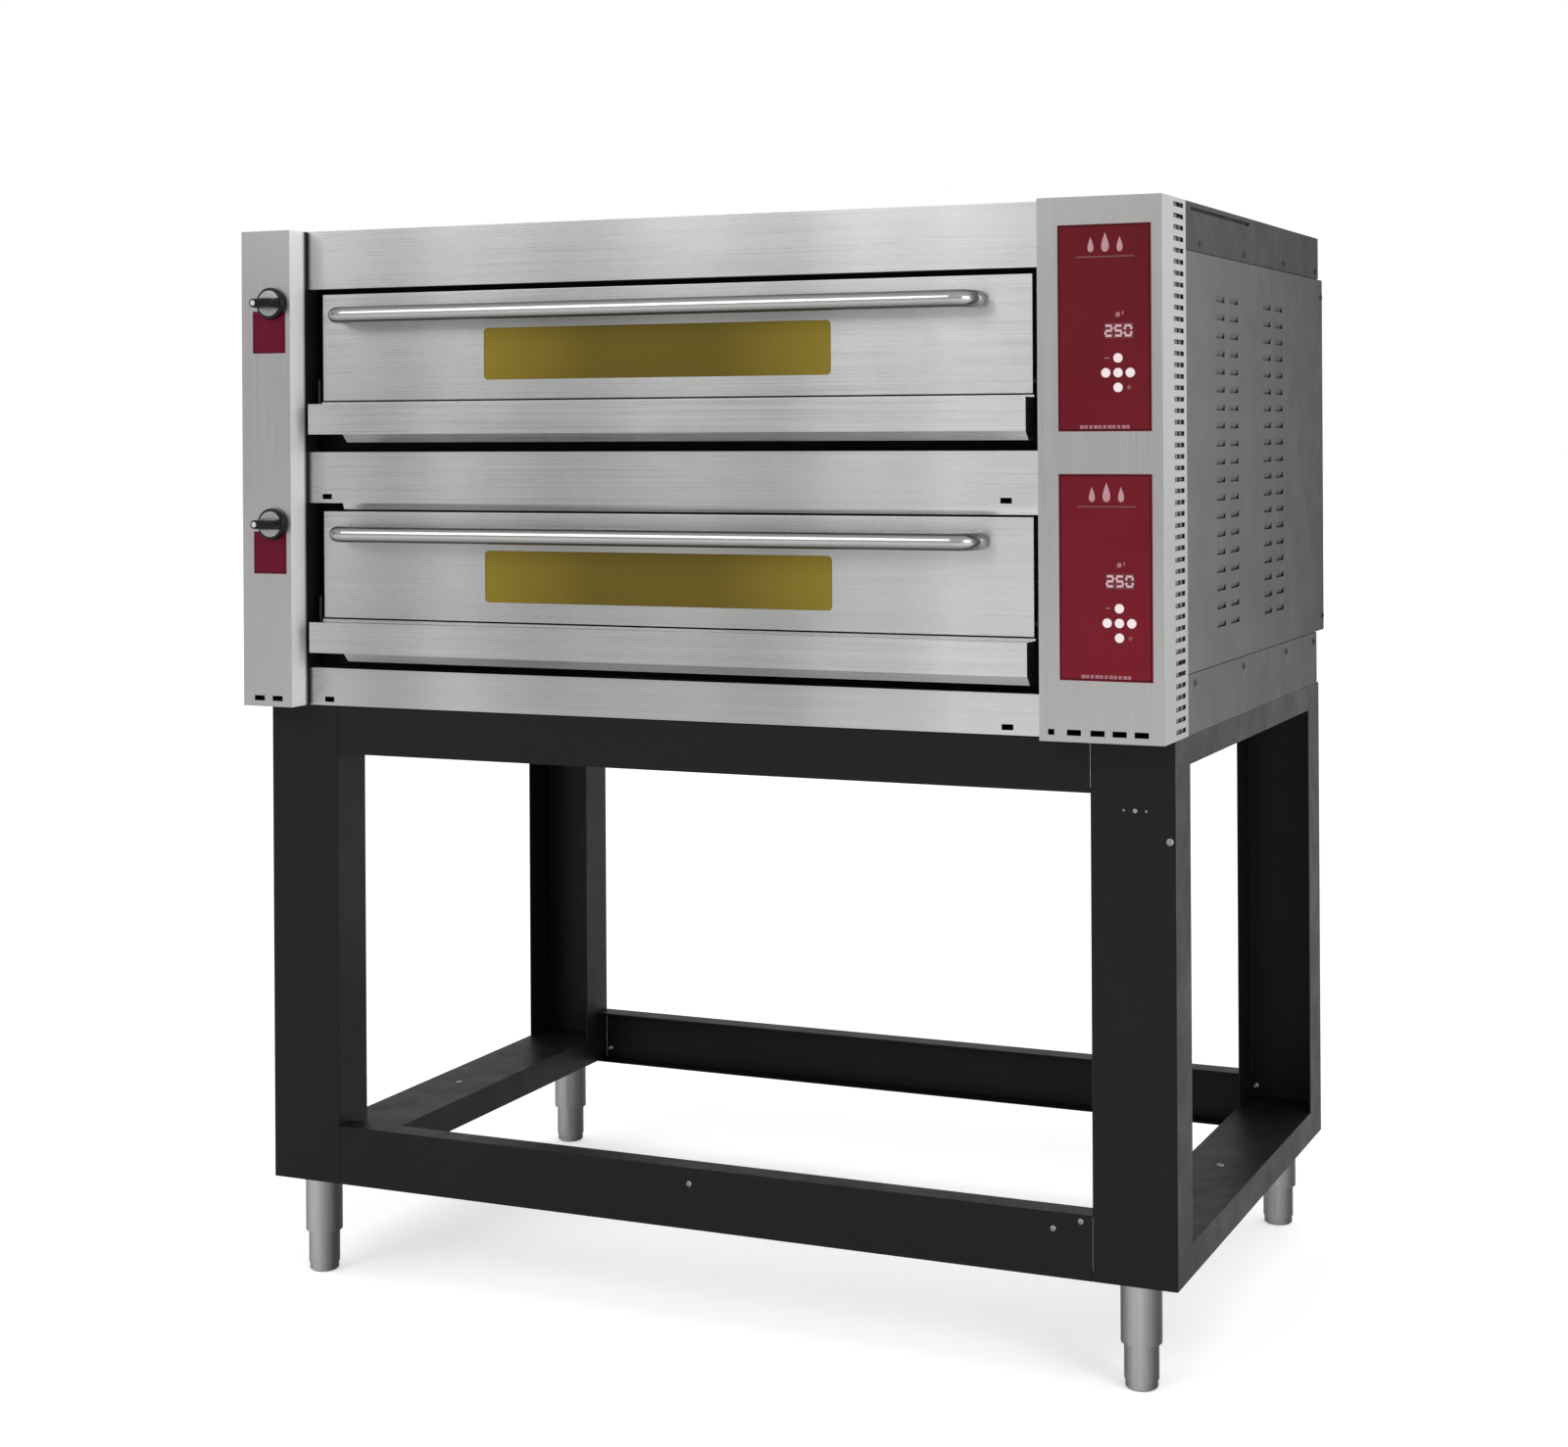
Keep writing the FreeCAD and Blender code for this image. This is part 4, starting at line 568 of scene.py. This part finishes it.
# ------------------------------------------------------------------ damper knobs
for d in ("upper", "lower"):
    lo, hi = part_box(d + "_damper_knob")
    c = (lo + hi) / 2
    yb = hi.y
    depth = hi.y - lo.y
    R = (hi.x - lo.x) / 2
    bm = bmesh.new()
    # Round skirt with a rolled edge.
    lathe(bm, [(0.0, 0.0), (R, 0.0), (R, 0.0030), (R * 0.985, 0.0062), (R * 0.93, 0.0086), (R * 0.87, 0.0094), (R * 0.85, 0.0086), (0.0, 0.0086)], (c.x, yb, c.z), (0, -1, 0), 96)
    # Bar grip across the skirt, drawn in slightly towards its face.
    rings = []
    for off, fx, fz in ((0.0080, 0.93, 1.22), (0.0115, 0.90, 1.05), (0.0200, 0.885, 0.98), (depth - 0.0045, 0.875, 0.95), (depth - 0.0018, 0.86, 0.90), (depth - 0.0004, 0.82, 0.80), (depth, 0.76, 0.66)):
        hx, hz = R * fx, 0.0078 * fz
        ring = []
        for sx in (1, -1):
            for k in range(13):
                a = (-0.5 + k / 12) * math.pi + (0 if sx > 0 else math.pi)
                ring.append(bm.verts.new((c.x + sx * (hx - hz) + hz * math.cos(a), yb - off, c.z + hz * math.sin(a))))
        rings.append(ring)
    for a, b in zip(rings, rings[1:]):
        for k in range(26):
            bm.faces.new([a[k], a[(k + 1) % 26], b[(k + 1) % 26], b[k]])
    bm.faces.new(rings[0][::-1])
    bm.faces.new(rings[-1])
    o = finish_mesh(d + "_knob_body", bm, "knob", d + "_damper", 0)
    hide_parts(d + "_damper_knob")
    bm = bmesh.new()
    # Satin disc let into the skirt behind the grip.
    lathe(bm, [(0.0, 0.0082), (R * 0.80, 0.0082), (R * 0.80, 0.0094), (R * 0.78, 0.0098), (0.0, 0.0098)], (c.x, yb, c.z), (0, -1, 0), 72)
    finish_mesh(d + "_knob_disc", bm, "disc", d + "_damper", 0)
    bm = bmesh.new()
    lathe(bm, [(0.0, 0.0), (0.0043, 0.0), (0.0043, 0.0005), (0.0032, 0.0009), (0.0, 0.0010)], (c.x - R * 0.56, yb - depth + 0.0004, c.z), (0, -1, 0), 24)
    finish_mesh(d + "_knob_dot", bm, "white", d + "_damper", 0)
    # Thin film marks on the red plate under the knob.
    p = "knob_label_plates"
    lo2, hi2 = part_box(p)
    z0 = c.z - 0.078
    bm = bmesh.new()
    yf = lo2.y
    for (x0, x1, za, zb) in ((lo2.x + 0.0022, hi2.x - 0.0022, z0 + 0.0022, z0 + 0.0032), (lo2.x + 0.0022, lo2.x + 0.0032, z0 + 0.0022, z0 + 0.060), (hi2.x - 0.0032, hi2.x - 0.0022, z0 + 0.0022, z0 + 0.060)):
        add_box(bm, x0, x1, yf - 0.00015, yf + 0.0003, za, zb)
    finish_mesh(d + "_label_line", bm, "line", ROOT, 0, False)

# ------------------------------------------------------------------ control panels
plo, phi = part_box("control_panels")
for d in ("upper", "lower"):
    up = centre_of(d + "_key_up")
    mid = centre_of(d + "_key_centre")
    dn = centre_of(d + "_key_down")
    off = 0.0 if d == "lower" else 0.340
    z0 = plo.z + off
    z1 = z0 + 0.282
    x0, x1, yf = plo.x, phi.x, plo.y
    bm = bmesh.new()
    for a, b, c0, c1, wd in ((x0 + 0.0015, x1 - 0.0015, z0 + 0.0015, z1 - 0.0015, 0.0016),):
        add_box(bm, a, b, yf - 0.0002, yf + 0.0002, c0, c0 + wd)
        add_box(bm, a, b, yf - 0.0002, yf + 0.0002, c1 - wd, c1)
        add_box(bm, a, a + wd, yf - 0.0002, yf + 0.0002, c0 + wd, c1 - wd)
        add_box(bm, b - wd, b, yf - 0.0002, yf + 0.0002, c0 + wd, c1 - wd)
    finish_mesh(d + "_panel_edge", bm, "line", ROOT, 0, False)
    # Three plain flame drops over a fine rule.
    bm = bmesh.new()
    mx, mz = 0.5 * (x0 + 0.0265 + x0 + 0.109), z1 - 0.0245
    for k, size in ((-1, 0.78), (0, 1.0), (1, 0.78)):
        ring = []
        for i in range(32):
            a = 2 * math.pi * i / 32
            # A round foot drawn up to a point.
            w = 0.0078 * size * math.sin(a) * math.sin(a / 2) ** 1.6
            ring.append((mx + k * 0.0205 + w, mz - 0.0135 + 0.0135 * size * (1 + math.cos(a))))
        front = [bm.verts.new((x, yf - 0.0003, z)) for x, z in ring]
        back = [bm.verts.new((x, yf + 0.0003, z)) for x, z in ring]
        bm.faces.new(front)
        bm.faces.new(back[::-1])
        for i in range(32):
            bm.faces.new([front[i], back[i], back[(i + 1) % 32], front[(i + 1) % 32]])
    finish_mesh(d + "_heat_mark", bm, "mark", ROOT, 0, False)
    bm = bmesh.new()
    add_box(bm, mx - 0.041, mx + 0.041, yf - 0.0002, yf + 0.0003, mz - 0.0208, mz - 0.0190)
    finish_mesh(d + "_mark_rule", bm, "faint", ROOT, 0, False)
    bm = bmesh.new()
    # A row of short dashes along the bottom edge, a pilot dot over the display with a tick beside it.
    for k in range(11):
        xa = x0 + 0.0310 + k * 0.00655
        add_box(bm, xa, xa + (0.0044 if k % 3 else 0.0056), yf - 0.0002, yf + 0.0003, z0 + 0.0036, z0 + 0.0084)
    lathe(bm, [(0.0, -0.0003), (0.0036, -0.0003), (0.0036, 0.0006), (0.0026, 0.0013), (0.0, 0.0016)], (mid.x, yf, mid.z + 0.079), (0, -1, 0), 24)
    add_box(bm, mid.x + 0.0062, mid.x + 0.0080, yf - 0.0002, yf + 0.0003, mid.z + 0.0785, mid.z + 0.0835)
    # Short ticks by the upper and lower keys.
    add_box(bm, up.x - 0.0185, up.x - 0.0125, yf - 0.0002, yf + 0.0003, up.z - 0.0008, up.z + 0.0008)
    add_box(bm, dn.x + 0.0125, dn.x + 0.0185, yf - 0.0002, yf + 0.0003, dn.z - 0.0008, dn.z + 0.0008)
    add_box(bm, dn.x + 0.0147, dn.x + 0.0163, yf - 0.0002, yf + 0.0003, dn.z - 0.0030, dn.z + 0.0030)
    finish_mesh(d + "_panel_print", bm, "pink", ROOT, 0, False)
    # Seven-segment digits, as on any temperature display.
    dz = mid.z + 0.057
    bm = bmesh.new()
    SEG = {"2": "abged", "5": "afgcd", "0": "abcdef"}
    for k, ch in enumerate("250"):
        cx = mid.x + 0.001 + (k - 1) * 0.0137
        w, h, t = 0.0044, 0.0068, 0.0015
        box = {"a": (-w, w, h - t, h + t), "g": (-w, w, -t, t), "d": (-w, w, -h - t, -h + t),
               "f": (-w - t, -w + t, t, h - t), "b": (w - t, w + t, t, h - t), "e": (-w - t, -w + t, -h + t, -t), "c": (w - t, w + t, -h + t, -t)}
        for s in SEG[ch]:
            a, b, c0, c1 = box[s]
            add_box(bm, cx + a, cx + b, yf - 0.0009, yf - 0.0005, dz + c0, dz + c1)
    finish_mesh(d + "_display_digits", bm, "digit", ROOT, 0, False)

# ------------------------------------------------------------------ screw heads
src = NODES["fasteners"]
bm0 = bmesh.new()
bm0.from_mesh(src.data)
bmesh.ops.remove_doubles(bm0, verts=bm0.verts, dist=1e-6)
seen, islands = set(), []
for v in bm0.verts:
    if v in seen:
        continue
    stack, isl = [v], []
    seen.add(v)
    while stack:
        q = stack.pop()
        isl.append(q.co.copy())
        for e in q.link_edges:
            w = e.other_vert(q)
            if w not in seen:
                seen.add(w)
                stack.append(w)
    islands.append(isl)
bm0.free()
bms = {"screw": bmesh.new(), "sidescrew": bmesh.new()}
for isl in islands:
    lo = Vector((min(p.x for p in isl), min(p.y for p in isl), min(p.z for p in isl)))
    hi = Vector((max(p.x for p in isl), max(p.y for p in isl), max(p.z for p in isl)))
    size = hi - lo
    k = min(range(3), key=lambda i: size[i])
    c = (lo + hi) / 2

    def spread(side):
        pts = [p for p in isl if abs(p[k] - side) < 1e-5]
        return max((p - c).length for p in pts)
    out = 1 if spread(hi[k]) < spread(lo[k]) else -1
    base = c.copy()
    base[k] = lo[k] if out > 0 else hi[k]
    ax = Vector((0, 0, 0))
    ax[k] = out
    r, h = max(size) / 2, size[k]
    bm = bms["sidescrew" if k == 0 else "screw"]
    # Domed head with a round socket.
    lathe(bm, [(0.0, 0.0), (r, 0.0), (r, h * 0.18), (r * 0.93, h * 0.52), (r * 0.75, h * 0.82), (r * 0.52, h * 0.97), (r * 0.46, h), (r * 0.40, h * 0.45), (0.0, h * 0.40)], base, ax, 24)
o = finish_mesh("screw_heads", bms["screw"], "screw", ROOT, 0)
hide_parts("fasteners")
finish_mesh("side_screw_heads", bms["sidescrew"], "sidescrew", ROOT, 0)

# ------------------------------------------------------------------ sheets behind the slots and louvres
for side, sx in (("left", -1), ("right", 1)):
    x = sx * 0.7395
    bm = bmesh.new()
    add_box(bm, min(x, x - sx * 0.0008), max(x, x - sx * 0.0008), -0.4450, -0.3800, 0.907, 1.644)
    finish_mesh(side + "_slot_backing", bm, "backing", ROOT, 0, False)
    x = sx * 0.7372
    bm = bmesh.new()
    for y0, y1 in ((-0.2200, -0.0740), (0.0690, 0.2150)):
        add_box(bm, min(x, x - sx * 0.0008), max(x, x - sx * 0.0008), y0, y1, 1.034, 1.536)
    finish_mesh(side + "_louvre_backing", bm, "louvre", ROOT, 0, False)

# ------------------------------------------------------------------ rope seals
for d, off in (("lower", 0.0), ("upper", 0.340)):
    lo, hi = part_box("door_gaskets")
    z0 = lo.z + off
    z1 = lo.z + off + (hi.z - lo.z - 0.340)
    r = (hi.y - lo.y) / 2 - 0.0001
    y = (lo.y + hi.y) / 2
    xa, xb = lo.x + 0.005, hi.x - 0.005
    pts = [Vector((xa, y, z0 + 0.001))]
    for k in range(1, 24):
        pts.append(Vector((xa, y, z0 + (z1 - z0 - 0.0105) * k / 24)))
    for k in range(9):
        a = math.pi - k / 8 * math.pi / 2
        pts.append(Vector((xa + 0.006 + 0.006 * math.cos(a), y, z1 - 0.0105 + 0.006 * math.sin(a))))
    for k in range(1, 48):
        pts.append(Vector((xa + 0.006 + (xb - xa - 0.012) * k / 48, y, z1 - 0.0045)))
    for k in range(9):
        a = math.pi / 2 - k / 8 * math.pi / 2
        pts.append(Vector((xb - 0.006 + 0.006 * math.cos(a), y, z1 - 0.0105 + 0.006 * math.sin(a))))
    for k in range(23, 0, -1):
        pts.append(Vector((xb, y, z0 + (z1 - z0 - 0.0105) * k / 24)))
    pts.append(Vector((xb, y, z0 + 0.001)))
    bm = bmesh.new()
    sweep(bm, pts, r, 16)
    o = finish_mesh(d + "_rope_seal", bm, "rope", ROOT, 0)
    if d == "lower":
        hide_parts("door_gaskets")

# ------------------------------------------------------------------ floor, lights, camera
fl = bpy.data.meshes.new("floor")
s = 30.0
fl.from_pydata([(-s, -s, 0), (s, -s, 0), (s, s, 0), (-s, s, 0)], [], [(0, 1, 2, 3)])
floor = bpy.data.objects.new("floor", fl)
bpy.context.scene.collection.objects.link(floor)
fm = Mat("floor_pale")
fm.set(color=fm.mul((0.96, 0.96, 0.96), fm.range(fm.noise(fm.obj, 2.0, 3.0), 0.3, 0.7, 0.99, 1.01)), rough=0.9, spec=0.1)
# The studio floor is bleached towards white where the camera sees it; shadows stay soft on it.
flp = fm.new("ShaderNodeLightPath")
fm.set(emit=(1.0, 1.0, 1.0), emit_s=fm.math("MULTIPLY", flp.outputs["Is Camera Ray"], 0.42))
fl.materials.append(fm.m)

world = bpy.data.worlds.new("studio")
bpy.context.scene.world = world
world.use_nodes = True
wt = world.node_tree
wt.nodes.clear()
wo = wt.nodes.new("ShaderNodeOutputWorld")


def wnode(kind, **kw):
    n = wt.nodes.new(kind)
    for k, v in kw.items():
        setattr(n, k, v)
    return n


def wmath(op, a, b):
    n = wnode("ShaderNodeMath", operation=op)
    for i, v in enumerate((a, b)):
        if isinstance(v, (int, float)):
            n.inputs[i].default_value = v
        else:
            wt.links.new(v, n.inputs[i])
    return n.outputs[0]


# A bright room: dimmer at the horizon, brighter overhead, with a soft patch behind the right side.
tc = wnode("ShaderNodeTexCoord")
sp = wnode("ShaderNodeSeparateXYZ")
wt.links.new(tc.outputs["Generated"], sp.inputs[0])
up = wmath("MAXIMUM", sp.outputs[2], 0.0)
level = wmath("ADD", wmath("MULTIPLY", up, SKY_UP), SKY_SIDE)
dot = wnode("ShaderNodeVectorMath", operation="DOT_PRODUCT")
wt.links.new(tc.outputs["Generated"], dot.inputs[0])
dot.inputs[1].default_value = Vector((0.55, 0.83, 0.10)).normalized()
patch = wmath("MULTIPLY", wmath("POWER", wmath("MAXIMUM", dot.outputs["Value"], 0.0), 9.0), PATCH)
level = wmath("ADD", level, patch)
bg_room = wnode("ShaderNodeBackground")
wt.links.new(level, bg_room.inputs[1])
bg_seen = wnode("ShaderNodeBackground")
bg_seen.inputs[0].default_value = (1, 1, 1, 1)
bg_seen.inputs[1].default_value = SEEN
lp = wnode("ShaderNodeLightPath")
mx = wnode("ShaderNodeMixShader")
wt.links.new(lp.outputs["Is Camera Ray"], mx.inputs[0])
wt.links.new(bg_room.outputs[0], mx.inputs[1])
wt.links.new(bg_seen.outputs[0], mx.inputs[2])
wt.links.new(mx.outputs[0], wo.inputs[0])


def area(name, loc, target, w, h, power, col=(1, 1, 1)):
    L = bpy.data.lights.new(name, "AREA")
    L.shape = "RECTANGLE"
    L.size, L.size_y = w, h
    L.energy = power
    L.color = col
    o = bpy.data.objects.new(name, L)
    o.location = loc
    o.rotation_euler = (Vector(target) - Vector(loc)).to_track_quat("-Z", "Y").to_euler()
    bpy.context.scene.collection.objects.link(o)
    return o


area("key", (-2.6, -5.0, 3.8), (0, 0, 1.0), 2.4, 2.4, 60)
area("right", (4.6, -3.2, 2.2), (-0.6, -0.45, 1.2), 2.0, 2.4, 70)

cam_data = bpy.data.cameras.new("photo_camera")
cam = bpy.data.objects.new("photo_camera", cam_data)
bpy.context.scene.collection.objects.link(cam)
bpy.context.scene.camera = cam
bpy.context.scene.view_settings.view_transform = "Standard"
CAM = Vector((1.7006, -3.9430, 1.3343))
yaw = math.radians(23.722)
cam_data.sensor_width = 36.0
cam_data.lens = 60.37
cam.rotation_mode = "XYZ"
cam.location = CAM
roll = Matrix.Rotation(math.radians(-0.33), 4, "Z")
cam.matrix_world = Matrix.Translation(CAM) @ Matrix.Rotation(yaw, 4, "Z") @ Matrix.Rotation(math.radians(90), 4, "X") @ roll
cam_data.clip_end = 100
# The picture is taken with the lens shifted down; the shift holds only at this camera position.
fc = cam_data.driver_add("shift_y")
while fc.modifiers:
    fc.modifiers.remove(fc.modifiers[0])
fc.driver.type = "AVERAGE"
v = fc.driver.variables.new()
v.name = "x"
v.type = "TRANSFORMS"
v.targets[0].id = cam
v.targets[0].transform_type = "LOC_X"
v.targets[0].transform_space = "WORLD_SPACE"
for x, y in ((CAM.x - 0.10, 0.0), (CAM.x - 0.04, -0.18838), (CAM.x + 0.04, -0.18838), (CAM.x + 0.10, 0.0)):
    key = fc.keyframe_points.insert(x, y)
    key.interpolation = "LINEAR"
